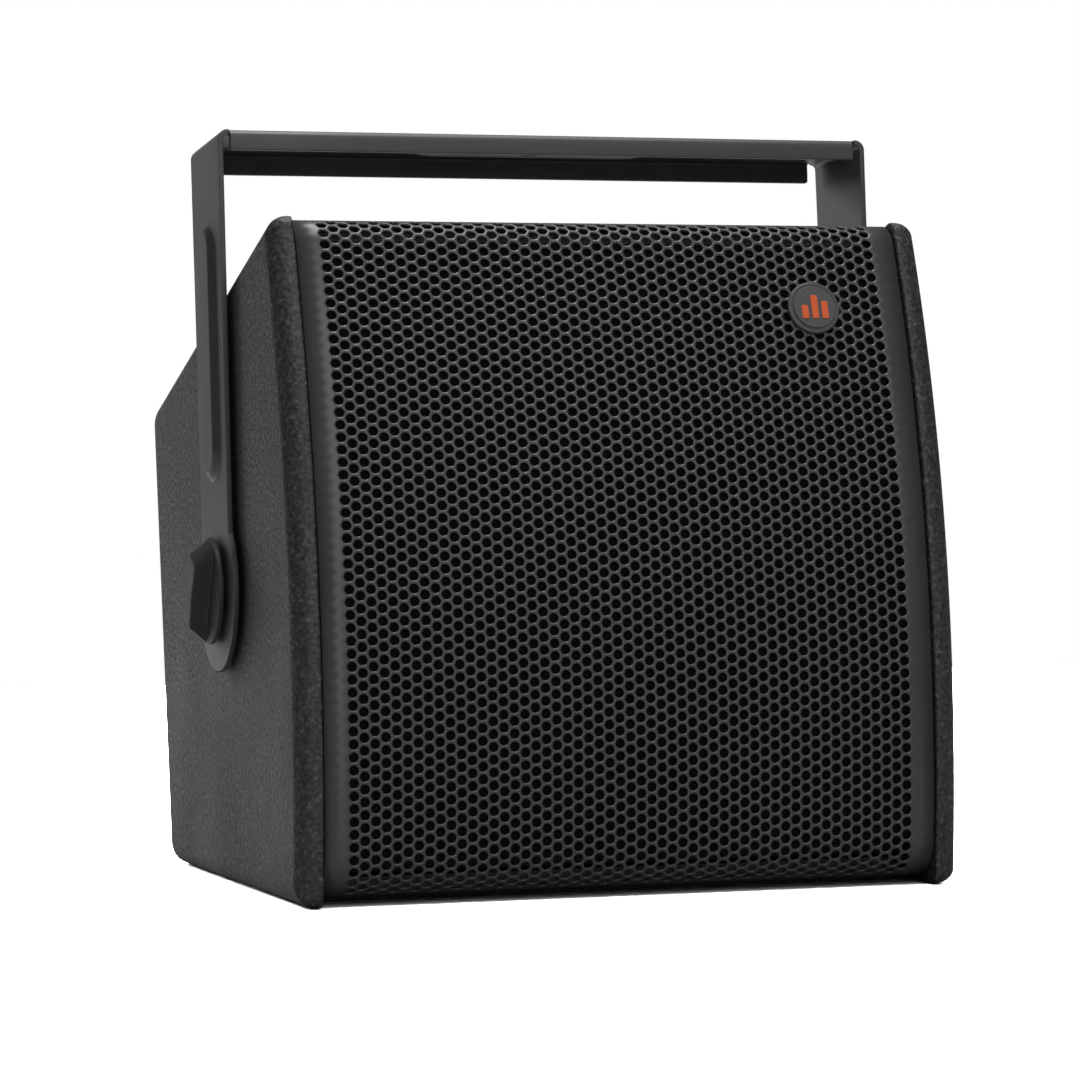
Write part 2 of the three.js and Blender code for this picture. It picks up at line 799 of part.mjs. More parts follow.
const connectorDish = () => {
  const halfX = dishWidth / 2;
  const halfZ = dishHeight / 2;
  const plate = box(-plateHalfX, plateHalfX, plateBackY, plateBackY + plateSheet, -plateHalfZ, plateHalfZ);
  const shell = box(-halfX, halfX, dishFloorY, plateBackY + 1, -halfZ, halfZ);
  const inside = box(
    -halfX + dishWall, halfX - dishWall,
    dishFloorY + dishWall, plateBackY + plateSheet + 1,
    -halfZ + dishWall, halfZ - dishWall);
  let dish = plate.add(shell).subtract(inside);
  for (const [, side] of sides) {
    const hole = rod(socketRadius + fitGap, dishFloorY - 1, dishFloorY + dishWall + 1, 'y', 20);
    dish = dish.subtract(hole.translate([side * socketSpacing / 2, 0, 0]));
  }
  for (const [x, z] of plateScrews) {
    const hole = rod(screwRadius + screwClearance, rearY - 1, plateBackY + plateSheet + 1, 'y', 8);
    dish = dish.subtract(hole.translate([x, 0, z - dishZ]));
  }
  return dish.translate([0, 0, dishZ]);
};

cabinet.add(named('connector_dish', connectorDish(), finishes.moulded));

const socketFloor = dishFloorY + dishWall + fitGap;
const socketLip = 4;
const socketBody = 26;
const socket = () => turned([
  [socketWell, socketFloor + socketLip],
  [socketRadius + 2, socketFloor + socketLip],
  [socketRadius + 3, socketFloor + socketLip - 1],
  [socketRadius + 3, socketFloor],
  [socketRadius, socketFloor],
  [socketRadius, socketFloor - socketBody],
  [0, socketFloor - socketBody],
  [0, socketFloor - socketBody + 6],
  [socketWell, socketFloor - socketBody + 6],
], 'y', 20);

[['input_socket', -1], ['link_socket', 1]].forEach(([name, side]) => {
  const mesh = named(name, socket(), finishes.moulded);
  mesh.position.set(side * socketSpacing / 2, 0, dishZ);
  cabinet.add(mesh);
});

plateScrews.forEach(([x, z], i) => {
  const solid = screw(screwHeadRadius, screwHead, 14).rotate([-90, 0, 0]);
  const mesh = named(`dish_screw_${i + 1}`, solid, finishes.zincSteel);
  mesh.position.set(x, plateBackY + plateSheet + fitGap, z);
  cabinet.add(mesh);
});

const padSheet = 20;
const padBottom = dishZ + plateHalfZ + 12;
const padTop = faceAt(1, rearInnerY - padSheet, panelThickness) - 8;
const dampingPad = box(
  -innerHalfWidth + 15, innerHalfWidth - 15,
  rearInnerY - fitGap - padSheet, rearInnerY - fitGap,
  padBottom, padTop);
cabinet.add(named('damping_pad', dampingPad, finishes.foam));

// ---- Leads inside the cabinet --------------------------------------------------------------------

// A lead through the given points of the cabinet's frame.
const lead = (points, radius) => {
  const path = new THREE.CatmullRomCurve3(points.map((p) => new THREE.Vector3(...p)));
  const section = new THREE.Shape();
  section.absarc(0, 0, radius, 0, 2 * Math.PI);
  const options = { steps: 12, curveSegments: 3, extrudePath: path, bevelEnabled: false };
  return toSolid(new THREE.ExtrudeGeometry(section, options));
};

const boardSurface = (x, y) => {
  const point = new THREE.Vector3(x, y, boardTop);
  crossover.updateMatrix();
  return point.applyMatrix4(crossover.matrix).toArray();
};

const [boardInX, boardInY, boardInZ] = boardSurface(8, 12);
const inputLead = lead([
  [-socketSpacing / 2, socketFloor - socketBody - 1, dishZ],
  [-socketSpacing / 2, socketFloor - socketBody - 14, dishZ + 4],
  [-6, boardInY + 8, boardInZ + 40],
  [boardInX, boardInY, boardInZ + 14],
  [boardInX, boardInY, boardInZ + 1],
], 2.5);
cabinet.add(named('input_lead', inputLead, finishes.rubber));

const [boardOutX, boardOutY, boardOutZ] = boardSurface(70, -38);
const driverLead = lead([
  [boardOutX, boardOutY, boardOutZ + 1],
  [boardOutX, boardOutY - 2, boardOutZ + 16],
  [boardOutX + 10, (boardOutY + baffleY + hfBack) / 2, -48],
  [hfRadius + 22, baffleY + hfBack, -8],
  [hfRadius - 1, baffleY + hfBack + 9, 0],
], 2);
cabinet.add(named('driver_lead', driverLead, finishes.rubber));

// ---- Threaded inserts, spacers, washers and knobs on the yoke's axis ------------------------------

const armInner = halfWidth + yokeSideGap;
const armOuter = armInner + yokeSheet;
const washerInner = armOuter + fitGap;
const knobInner = washerInner + washerThickness + fitGap;
const studEnd = knobInner + knobDisc + 2;
const studStart = innerHalfWidth - 10;

const threadedInsert = () => {
  const inner = innerHalfWidth - fitGap;
  return turned([
    [studRadius + studClearance, inner - insertPlate],
    [insertFlange, inner - insertPlate],
    [insertFlange, inner],
    [insertBoss, inner],
    [insertBoss, halfWidth - 1],
    [studRadius + studClearance, halfWidth - 1],
  ], 'x');
};

const knob = () => {
  const top = knobInner + knobDisc + knobGrip;
  const disc = turned([
    [studRadius + studClearance, knobInner],
    [knobRadius - 1, knobInner],
    [knobRadius, knobInner + 1],
    [knobRadius, knobInner + knobDisc - 1],
    [knobRadius - 1, knobInner + knobDisc],
    [0, knobInner + knobDisc],
    [0, knobInner + knobDisc - 0.5],
    [studRadius + studClearance, knobInner + knobDisc - 0.5],
  ], 'x', 32);
  const face = knobInner + knobDisc - 0.3;
  const reach = knobRadius - 1;
  const slope = knobGrip * 0.9;
  const side = [[face, -reach], [face, reach], [top, reach - slope], [top, -reach + slope]];
  const half = knobGripWidth / 2;
  const bar = prismY(side, -half, half);
  const hollow = rod(gripHollow, knobInner + knobDisc, top + 1, 'x', 40);
  const away = half + gripHollow - gripWaist;
  const cut = hollow.translate([0, away, 0]).add(hollow.translate([0, -away, 0]));
  const well = rod(studRadius + studClearance, knobInner - 1, studEnd + fitGap, 'x');
  return disc.add(bar.subtract(cut)).subtract(well);
};

const onAxis = (name, solid, side, finish) => {
  const mesh = named(name, side > 0 ? solid : solid.mirror([1, 0, 0]), finish);
  mesh.rotation.x = knobTurn;
  return mesh;
};

const axisGroup = new THREE.Group();
axisGroup.position.z = pivotHeight;
group.add(axisGroup);

for (const [name, side] of sides) {
  const spacer = ring(studRadius + 1, spacerRadius, halfWidth + fitGap, armInner - fitGap, 'x');
  const washer = ring(
    studRadius + studClearance, washerRadius, washerInner, washerInner + washerThickness, 'x', 20);
  const stud = rod(studRadius, studStart, studEnd, 'x');
  axisGroup.add(onAxis(`${name}_threaded_insert`, threadedInsert(), side, finishes.zincSteel));
  axisGroup.add(onAxis(`${name}_spacer`, spacer, side, finishes.rubber));
  axisGroup.add(onAxis(`${name}_knob_washer`, washer, side, finishes.zincSteel));
  axisGroup.add(onAxis(`${name}_knob_stud`, stud, side, finishes.zincSteel));
  axisGroup.add(onAxis(`${name}_knob`, knob(), side, finishes.moulded));
}

// ---- Yoke, in a frame that leans with it ---------------------------------------------------------

// A pad pressed in sheet metal: a stadium along x whose flat face, at z = height, has sloping edges.
const pressedPad = (length, width, height, slope) => {
  const radius = width / 2;
  const half = length / 2 - radius;
  const shape = new THREE.Shape();
  shape.absarc(half, 0, radius, -Math.PI / 2, Math.PI / 2);
  shape.absarc(-half, 0, radius, Math.PI / 2, (3 * Math.PI) / 2);
  const geometry = new THREE.ExtrudeGeometry(shape, {
    depth: height,
    curveSegments: 6,
    bevelThickness: height,
    bevelSize: slope,
    bevelSegments: 1,
  });
  return toSolid(geometry.translate(0, 0, -height));
};

const yoke = () => {
  const half = armTopWidth / 2;
  const arch = [
    [-armOuter, -lobeRadius - 1],
    [-armInner, -lobeRadius - 1],
    [-armInner, armLength - yokeSheet, yokeBend - yokeSheet],
    [armInner, armLength - yokeSheet, yokeBend - yokeSheet],
    [armInner, -lobeRadius - 1],
    [armOuter, -lobeRadius - 1],
    [armOuter, armLength, yokeBend],
    [-armOuter, armLength, yokeBend],
  ];
  const sheet = prismY(arch, -lobeRadius, lobeRadius, 3);
  const low = armLowWidth / 2;
  const neck = Math.acos(low / lobeRadius); // where the arm's edge leaves the round lobe
  const lobe = arcPoints(0, 0, lobeRadius, Math.PI - neck, 2 * Math.PI + neck, 20);
  const side = [[half, armLength + 1], [-half, armLength + 1], ...lobe];
  let solid = sheet.intersect(prismX(side, -armOuter - 1, armOuter + 1));
  const top = armLength;
  const inner = armInner - yokeSheet;
  const trim = box(-inner, inner, half - flangeBend, half + 5, top - 20, top + 5);
  solid = solid.subtract(trim).subtract(trim.mirror([0, 1, 0]));
  const channel = [
    [-half, top - frontFlange],
    [-half + yokeSheet, top - frontFlange],
    [-half + yokeSheet, top - yokeSheet, flangeBend - yokeSheet],
    [half - yokeSheet, top - yokeSheet, flangeBend - yokeSheet],
    [half - yokeSheet, top - rearFlange],
    [half, top - rearFlange],
    [half, top, flangeBend],
    [-half, top, flangeBend],
  ];
  solid = solid.add(prismX(channel, -inner, inner, 3));

  // A rib pressed outwards in each arm, and a pad pressed downwards in the crossbar.
  const toArm = new THREE.Matrix4().makeBasis(axisZ, axisY.clone().negate(), axisX);
  const rib = placed(pressedPad(ribLength, ribWidth, ribDepth, ribSlope), toArm);
  const reach = lobeRadius + armLength;
  const beyond = armOuter + ribDepth + 1;
  const raised = rib.translate([armOuter, 0, ribMiddle])
    .intersect(box(armInner + 1, beyond, -reach, reach, 0, reach));
  const hollow = rib.translate([armInner, 0, ribMiddle])
    .intersect(box(armInner - 1, beyond, -reach, reach, 0, reach));
  solid = solid.add(raised).add(raised.mirror([1, 0, 0]));
  solid = solid.subtract(hollow).subtract(hollow.mirror([1, 0, 0]));

  const dent = pressedPad(padLength, padWidth, padDepth, padSlope).mirror([0, 0, 1]);
  const lowest = top - yokeSheet - padDepth - 1;
  const below = dent.translate([0, 0, top - yokeSheet])
    .intersect(box(-reach, reach, -reach, reach, lowest, top - 1));
  const above = dent.translate([0, 0, top])
    .intersect(box(-reach, reach, -reach, reach, lowest, top + 1));
  solid = solid.add(below).subtract(above);

  solid = solid.subtract(rod(yokeHole, top - 20, top + 5, 'z', 20));
  const bore = rod(studRadius + 1, -armOuter - 1, armOuter + 1, 'x');
  return solid.subtract(bore);
};

const yokeMesh = named('yoke', yoke(), finishes.powderCoat);
yokeMesh.position.z = pivotHeight;
yokeMesh.rotation.x = -yokeLean;
group.add(yokeMesh);

export default group;
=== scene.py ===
import math

import bmesh
import bpy
from mathutils import Matrix, Vector, noise


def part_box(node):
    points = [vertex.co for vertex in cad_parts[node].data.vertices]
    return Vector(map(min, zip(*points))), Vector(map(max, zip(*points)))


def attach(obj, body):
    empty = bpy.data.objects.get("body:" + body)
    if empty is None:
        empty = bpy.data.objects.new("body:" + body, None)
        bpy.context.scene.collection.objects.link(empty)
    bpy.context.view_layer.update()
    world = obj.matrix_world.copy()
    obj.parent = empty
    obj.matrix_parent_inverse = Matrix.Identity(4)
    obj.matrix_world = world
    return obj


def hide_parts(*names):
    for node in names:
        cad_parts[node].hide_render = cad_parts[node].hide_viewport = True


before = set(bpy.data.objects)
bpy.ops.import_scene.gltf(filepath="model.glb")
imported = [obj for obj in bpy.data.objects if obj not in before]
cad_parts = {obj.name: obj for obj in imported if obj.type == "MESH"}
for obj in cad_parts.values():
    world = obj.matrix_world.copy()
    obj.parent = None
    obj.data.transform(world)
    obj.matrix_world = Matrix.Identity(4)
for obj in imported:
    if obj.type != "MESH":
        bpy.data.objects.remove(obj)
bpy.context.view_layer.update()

# Stage monitor wedge. Camera, lights and floor are in metres. Pieces are drawn in millimetres, each in its
# own frame, and makePiece turns them into metres.
print("camera and light")

cameraSettings = {
    "place": (-0.69485, -2.26725, 0.2042),
    "heading": math.radians(-16.976),
    "tilt": math.radians(-0.167),
    "roll": math.radians(-0.693),
    "lens": 133.49,
    "sensor": 36,
}


def makeCamera(settings):
    data = bpy.data.cameras.new("camera")
    data.lens = settings["lens"]
    data.sensor_width = settings["sensor"]
    camera = bpy.data.objects.new("camera", data)
    bpy.context.scene.collection.objects.link(camera)
    turn = Matrix.Rotation(settings["heading"], 4, "Z")
    lift = Matrix.Rotation(math.pi / 2 + settings["tilt"], 4, "X")
    lean = Matrix.Rotation(settings["roll"], 4, "Z")
    camera.matrix_world = Matrix.Translation(settings["place"]) @ turn @ lift @ lean
    bpy.context.scene.camera = camera


makeCamera(cameraSettings)

# Softboxes, all turned to the aim point. The key is not mirrored, so that the grain of the paint shows.
aimPoint = (0, 0, 0.2)
lightSettings = {
    "keyRearLeft": {"place": (-0.8, 3.0, 1.0), "size": (1.0, 1.2), "power": 630,
                    "mirrored": False},
    "frontFill": {"place": (0.3, -3.1, 1.9), "size": (2.2, 1.8), "power": 31},
    "lowFront": {"place": (-0.7, -2.8, 0.3), "size": (0.9, 0.6), "power": 6},
    "topStrip": {"place": (0.1, 0.0, 2.6), "size": (2.2, 1.2), "power": 56},
}
floorWash = {"place": (0, 0.6, 2.4), "size": (6.0, 6.0), "power": 1500}
worldSettings = {"seen": 1.0, "lit": 0.12}


def makeLight(name, settings):
    data = bpy.data.lights.new(name, "AREA")
    data.shape = "RECTANGLE"
    data.size, data.size_y = settings["size"]
    data.energy = settings["power"]
    light = bpy.data.objects.new(name, data)
    bpy.context.scene.collection.objects.link(light)
    light.location = settings["place"]
    light.visible_glossy = settings.get("mirrored", True)
    aim = Vector(aimPoint) - light.location
    light.rotation_euler = aim.to_track_quat("-Z", "Y").to_euler()
    return light


for lightName, lightValues in lightSettings.items():
    makeLight(lightName, lightValues)
washLight = makeLight("floorWash", floorWash)


def put(tree, kind, inputs=None, **settings):
    node = tree.nodes.new(kind)
    for key, value in settings.items():
        setattr(node, key, value)
    for key, value in (inputs or {}).items():
        if isinstance(value, bpy.types.NodeSocket):
            tree.links.new(value, node.inputs[key])
        else:
            node.inputs[key].default_value = value
    return node


def makeWorld(settings):
    world = bpy.data.worlds.new("studio")
    bpy.context.scene.world = world
    world.use_nodes = True
    tree = world.node_tree
    background = tree.nodes["Background"]
    rays = put(tree, "ShaderNodeLightPath")
    level = put(tree, "ShaderNodeMapRange", {
        "Value": rays.outputs["Is Camera Ray"],
        "To Min": settings["lit"],
        "To Max": settings["seen"],
    })
    background.inputs["Color"].default_value = (1, 1, 1, 1)
    tree.links.new(level.outputs["Result"], background.inputs["Strength"])


makeWorld(worldSettings)
bpy.context.scene.view_settings.view_transform = "Standard"

print("finishes")


def newGroup(name, inputs, outputs):
    group = bpy.data.node_groups.new(name, "ShaderNodeTree")
    for label, kind, value in inputs:
        socket = group.interface.new_socket(name=label, in_out="INPUT", socket_type=kind)
        if value is not None:
            socket.default_value = value
    for label, kind in outputs:
        group.interface.new_socket(name=label, in_out="OUTPUT", socket_type=kind)
    return group, group.nodes.new("NodeGroupInput"), group.nodes.new("NodeGroupOutput")


# Rolled, grainy coating: a bumpy height, a mask of the few grains that are painted pale as glints, a tone
# that paints light and shade onto the grains, and a broad mottle.
def makeGrainGroup():
    group, given, made = newGroup(
        "coatingGrain",
        [("Place", "NodeSocketVector", None), ("Grains per metre", "NodeSocketFloat", 900.0)],
        [("Height", "NodeSocketFloat"), ("Painted glints", "NodeSocketFloat"), ("Mottle", "NodeSocketFloat"),
         ("Painted grain shading", "NodeSocketFloat")],
    )
    place, density = given.outputs["Place"], given.outputs["Grains per metre"]
    lumps = put(group, "ShaderNodeTexNoise", {
        "Vector": place, "Scale": density, "Detail": 3.0, "Roughness": 0.6})
    pebbles = put(group, "ShaderNodeTexVoronoi", {
        "Vector": place, "Scale": density, "Randomness": 1.0}, feature="SMOOTH_F1")
    height = put(group, "ShaderNodeMath", {
        0: lumps.outputs["Fac"], 1: pebbles.outputs["Distance"]}, operation="SUBTRACT")
    # painted highlights: the highest lumps are masked, to be painted pale as glints
    flakes = put(group, "ShaderNodeMapRange", {
        "Value": lumps.outputs["Fac"], "From Min": 0.6, "From Max": 0.72})
    # painted light and shade: the lumps' height is mapped to tone, so higher grains are painted paler and
    # lower ones darker
    grainShadingMask = put(group, "ShaderNodeMapRange", {
        "Value": lumps.outputs["Fac"], "From Min": 0.36, "From Max": 0.64})
    patches = put(group, "ShaderNodeTexNoise", {"Vector": place, "Scale": 14.0, "Detail": 4.0})
    group.links.new(height.outputs[0], made.inputs["Height"])
    group.links.new(flakes.outputs["Result"], made.inputs["Painted glints"])
    group.links.new(patches.outputs["Fac"], made.inputs["Mottle"])
    group.links.new(grainShadingMask.outputs["Result"], made.inputs["Painted grain shading"])
    return group


# Fine scuffs and a little dust on what faces up.
def makeHandlingGroup():
    group, given, made = newGroup(
        "handlingMarks",
        [("Place", "NodeSocketVector", None), ("Facing", "NodeSocketVector", None),
         ("Amount", "NodeSocketFloat", 0.3)],
        [("Scuffs", "NodeSocketFloat"), ("Dust", "NodeSocketFloat")],
    )
    place, amount = given.outputs["Place"], given.outputs["Amount"]
    stretched = put(group, "ShaderNodeMapping", {"Vector": place, "Scale": (60.0, 60.0, 900.0)})
    streaks = put(group, "ShaderNodeTexNoise", {
        "Vector": stretched.outputs["Vector"], "Scale": 1.0, "Detail": 6.0, "Roughness": 0.7})
    scuffs = put(group, "ShaderNodeMapRange", {
        "Value": streaks.outputs["Fac"], "From Min": 0.62, "From Max": 0.8, "To Max": amount})
    cloud = put(group, "ShaderNodeTexNoise", {"Vector": place, "Scale": 30.0, "Detail": 5.0})
    facing = put(group, "ShaderNodeSeparateXYZ", {"Vector": given.outputs["Facing"]})
    upward = put(group, "ShaderNodeMapRange", {
        "Value": facing.outputs["Z"], "From Min": 0.6, "From Max": 1.0})
    dust = put(group, "ShaderNodeMath", {
        0: upward.outputs["Result"], 1: cloud.outputs["Fac"]}, operation="MULTIPLY")
    settled = put(group, "ShaderNodeMath", {0: dust.outputs[0], 1: amount}, operation="MULTIPLY")
    group.links.new(scuffs.outputs["Result"], made.inputs["Scuffs"])
    group.links.new(settled.outputs[0], made.inputs["Dust"])
    return group


grainGroup = makeGrainGroup()
handlingGroup = makeHandlingGroup()


# A mix node takes its colours at inputs 6 and 7, and gives the result at output 2.
def mixColours(tree, share, first, second):
    mix = put(tree, "ShaderNodeMix", {"Factor": share, 6: first, 7: second}, data_type="RGBA")
    return mix.outputs[2]


# painted highlights: how much paler than the light tone the glint grains are painted
glintTone = {"gain": 2.2, "lift": 0.01}
dustTone = (0.12, 0.115, 0.11, 1)


def makeFinish(name, dark, light, roughness, grains, bump, flakes=0.0, metallic=0.0,
               specular=0.5, marks=0.2, roughSpread=0.12, coat=0.0, colouredBy="Mottle"):
    finish = bpy.data.materials.new(name)
    finish.use_nodes = True
    tree = finish.node_tree
    shader = tree.nodes["Principled BSDF"]
    coordinates = put(tree, "ShaderNodeTexCoord")
    place = coordinates.outputs["Object"]
    grain = put(tree, "ShaderNodeGroup", node_tree=grainGroup)
    tree.links.new(place, grain.inputs["Place"])
    grain.inputs["Grains per metre"].default_value = grains
    handling = put(tree, "ShaderNodeGroup", node_tree=handlingGroup)
    tree.links.new(place, handling.inputs["Place"])
    tree.links.new(coordinates.outputs["Normal"], handling.inputs["Facing"])
    handling.inputs["Amount"].default_value = marks
    # the tone comes from the chosen mask: a random mottle, or for the textured paint the painted light and
    # shade of its grains
    mottleAndGrainShade = mixColours(tree, grain.outputs[colouredBy], (*dark, 1), (*light, 1))
    # painted highlights: the grains in the glint mask are painted pale, in place of glints of light off the
    # grains
    glintColour = tuple(min(1.0, value * glintTone["gain"] + glintTone["lift"]) for value in light)
    share = put(tree, "ShaderNodeMath", {0: grain.outputs["Painted glints"], 1: flakes}, operation="MULTIPLY")
    withGlints = mixColours(tree, share.outputs[0], mottleAndGrainShade, (*glintColour, 1))
    dusty = mixColours(tree, handling.outputs["Dust"], withGlints, dustTone)
    tree.links.new(dusty, shader.inputs["Base Color"])
    rough = put(tree, "ShaderNodeMapRange", {
        "Value": grain.outputs["Mottle"], "From Min": 0.3, "From Max": 0.7,
        "To Min": roughness - roughSpread / 2, "To Max": roughness + roughSpread / 2})
    worn = put(tree, "ShaderNodeMath", {
        0: rough.outputs["Result"], 1: handling.outputs["Scuffs"]}, operation="ADD")
    tree.links.new(worn.outputs[0], shader.inputs["Roughness"])
    relief = put(tree, "ShaderNodeBump", {
        "Height": grain.outputs["Height"], "Strength": 1.0, "Distance": bump})
    tree.links.new(relief.outputs["Normal"], shader.inputs["Normal"])
    shader.inputs["Metallic"].default_value = metallic
    shader.inputs["Specular IOR Level"].default_value = specular
    shader.inputs["Coat Weight"].default_value = coat
    return finish


# dark and light tone, roughness, grains per metre, height of the relief in metres, and what differs
finishSettings = {
    # the textured paint's colour carries painted light and shade of its grains, and painted glints
    "texturedPaint": ((0.006, 0.006, 0.0065), (0.042, 0.042, 0.043), 0.55, 400, 0.0004,
                      {"flakes": 0.9, "marks": 0.0, "colouredBy": "Painted grain shading"}),
    "grilleCoat": ((0.046, 0.046, 0.047), (0.058, 0.058, 0.059), 0.36, 1600, 0.00002, {"marks": 0.1}),
    "powderCoat": ((0.033, 0.033, 0.034), (0.042, 0.042, 0.043), 0.42, 1600, 0.00002, {"marks": 0.2}),
    "acousticFoam": ((0.003, 0.003, 0.003), (0.006, 0.006, 0.006), 0.95, 1100, 0.0008,
                     {"specular": 0.1, "marks": 0.0}),
    "badgePlastic": ((0.05, 0.05, 0.055), (0.06, 0.06, 0.065), 0.45, 2400, 0.00001, {"marks": 0.1}),
    "badgeOrange": ((0.60, 0.075, 0.004), (0.66, 0.09, 0.006), 0.4, 2400, 0.00001, {"marks": 0.05}),
    "stainedPlywood": ((0.012, 0.011, 0.01), (0.022, 0.02, 0.018), 0.75, 500, 0.00008, {"marks": 0.1}),
    "mouldedPlastic": ((0.021, 0.021, 0.022), (0.029, 0.029, 0.03), 0.48, 1900, 0.00003, {"marks": 0.3}),
    "castAlloy": ((0.07, 0.07, 0.075), (0.12, 0.12, 0.125), 0.5, 1500, 0.00006, {"metallic": 0.7}),
    "softRubber": ((0.01, 0.01, 0.01), (0.016, 0.016, 0.016), 0.75, 1700, 0.00003, {}),
    "coneFibre": ((0.012, 0.012, 0.012), (0.03, 0.028, 0.026), 0.85, 700, 0.0002, {}),
    "copperWire": ((0.5, 0.2, 0.09), (0.7, 0.33, 0.16), 0.3, 1500, 0.0001, {"metallic": 1.0}),
    "spiderCloth": ((0.35, 0.2, 0.06), (0.5, 0.31, 0.12), 0.9, 1300, 0.0002, {}),
    "zincSteel": ((0.45, 0.46, 0.48), (0.62, 0.63, 0.65), 0.32, 1500, 0.00002, {"metallic": 1.0}),
    "ferrite": ((0.03, 0.03, 0.032), (0.06, 0.06, 0.062), 0.6, 1200, 0.0001, {"metallic": 0.2}),
    "circuitBoard": ((0.02, 0.12, 0.045), (0.04, 0.19, 0.08), 0.4, 900, 0.00004, {"coat": 0.3}),
    "filmCapacitor": ((0.5, 0.4, 0.05), (0.6, 0.52, 0.1), 0.35, 800, 0.00002, {}),
}
finishes = {name: makeFinish(name, *row, **extras) for name, (*row, extras) in finishSettings.items()}

print("shared dimensions")

cabinet = {
    "width": 385,
    "frontHeight": 390,
    "depth": 358,
    "pivotDepth": 161.5,
    "bottomTaper": math.radians(8.07),
    "topTaper": math.radians(8.68),
    "thickness": 14.5,
    "edgeRound": 12,
    "rearRadius": 15,
    "frontCorner": 7.5,
    "innerRound": 1.5,
    "frontRadius": 824.4,
    "sideProud": 2.5,
    "bore": 10.3,
    "leastCorner": 0.6,
    "steps": {"corner": 8, "front": 60, "rear": 12, "inner": 4, "edge": 14, "bore": 48},
}
fitGap = 0.3
quarter = math.pi / 2
halfWidth = cabinet["width"] / 2
innerHalf = halfWidth - cabinet["thickness"]
halfHeight = cabinet["frontHeight"] / 2
frontY = -cabinet["pivotDepth"]
rearY = cabinet["depth"] - cabinet["pivotDepth"]
topTaper, bottomTaper = cabinet["topTaper"], cabinet["bottomTaper"]
frontRadius = cabinet["frontRadius"]
arcCentreY = frontY + frontRadius
pivotHeight = (halfHeight - cabinet["pivotDepth"] * math.tan(bottomTaper)) * math.cos(bottomTaper)

pivotPlace = Matrix.Translation((0, 0, pivotHeight))
cabinetPlace = pivotPlace @ Matrix.Rotation(-bottomTaper, 4, "X")
tapers = {1: topTaper, -1: bottomTaper}


def faceAt(sign, y, depth=0):
    taper = tapers[sign]
    return sign * (halfHeight - (y - frontY) * math.tan(taper) - depth / math.cos(taper))


def bendAngle(taper, arcRadius, depth):
    reach = halfHeight * math.cos(taper) - frontRadius * math.sin(taper) - depth
    return taper + math.asin(reach / arcRadius)


def arc(centreU, centreV, radius, start, end, steps):
    turns = [start + (end - start) * k / steps for k in range(steps + 1)]
    return [(centreU + radius * math.cos(t), centreV + radius * math.sin(t)) for t in turns]


def makePiece(name, points, faces, finish, place, body, replaced=(), crease=32, weighted=True):
    metres = Matrix.Scale(0.001, 4) @ place
    mesh = bpy.data.meshes.new(name)
    mesh.from_pydata([metres @ Vector(p) for p in points], [], faces)
    work = bmesh.new()
    work.from_mesh(mesh)
    bmesh.ops.remove_doubles(work, verts=work.verts, dist=2e-6)
    bmesh.ops.recalc_face_normals(work, faces=work.faces)
    work.to_mesh(mesh)
    work.free()
    mesh.shade_smooth()
    mesh.set_sharp_from_angle(angle=math.radians(crease))
    mesh.materials.append(finishes[finish])
    piece = bpy.data.objects.new(name, mesh)
    bpy.context.scene.collection.objects.link(piece)
    if weighted:
        piece.modifiers.new("evenShading", "WEIGHTED_NORMAL").keep_sharp = True
    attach(piece, body)
    if replaced:
        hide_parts(*replaced)
    return piece


def roundRing(radius, along, sides):
    return [(x, y, along) for x, y in arc(0, 0, radius, 0, 2 * math.pi, sides)[:-1]]


# Joins rings of equal length into a skin, closed at its ends or back to its start.
def loft(rings, wrap=False, capped=True):
    points = [p for ring in rings for p in ring]
    count = len(rings[0])
    faces = []
    for k in range(len(rings) if wrap else len(rings) - 1):
        a, b = k * count, ((k + 1) % len(rings)) * count
        for i in range(count):
            j = (i + 1) % count
            faces.append((a + i, a + j, b + j, b + i))
    if capped and not wrap:
        faces.append(tuple(range(count)))
        faces.append(tuple(range(len(points) - count, len(points))))
    return points, faces


# A turned piece from a closed outline of (radius, place along local z).
def turned(outline, sides=96):
    return loft([roundRing(radius, along, sides) for radius, along in outline], wrap=True)


# Fills a flat outline around the circles in it, and joins the two ends' circles with walls.
def closeWithBores(points, faces, loops):
    work = bmesh.new()
    corners = [work.verts.new(p) for p in points]
    for face in faces:
        work.faces.new([corners[i] for i in face])
    circles = []
    for outlineLoop, holes in loops:
        rings = [[corners[i] for i in outlineLoop]]
        for hole in holes:
            rings.append([work.verts.new(p) for p in hole])
        edges = []
        for ring in rings:
            for a, b in zip(ring, ring[1:] + ring[:1]):
                edges.append(work.edges.get((a, b)) or work.edges.new((a, b)))
        bmesh.ops.triangle_fill(work, use_beauty=True, use_dissolve=False, edges=edges)
        circles.append(rings[1:])
    for first, second in zip(*circles):
        for i in range(len(first)):
            j = (i + 1) % len(first)
            work.faces.new((first[i], first[j], second[j], second[i]))
    work.verts.index_update()
    made = [tuple(v.co) for v in work.verts]
    shapes = [tuple(v.index for v in f.verts) for f in work.faces]
    work.free()
    return made, shapes


print("cabinet shell")


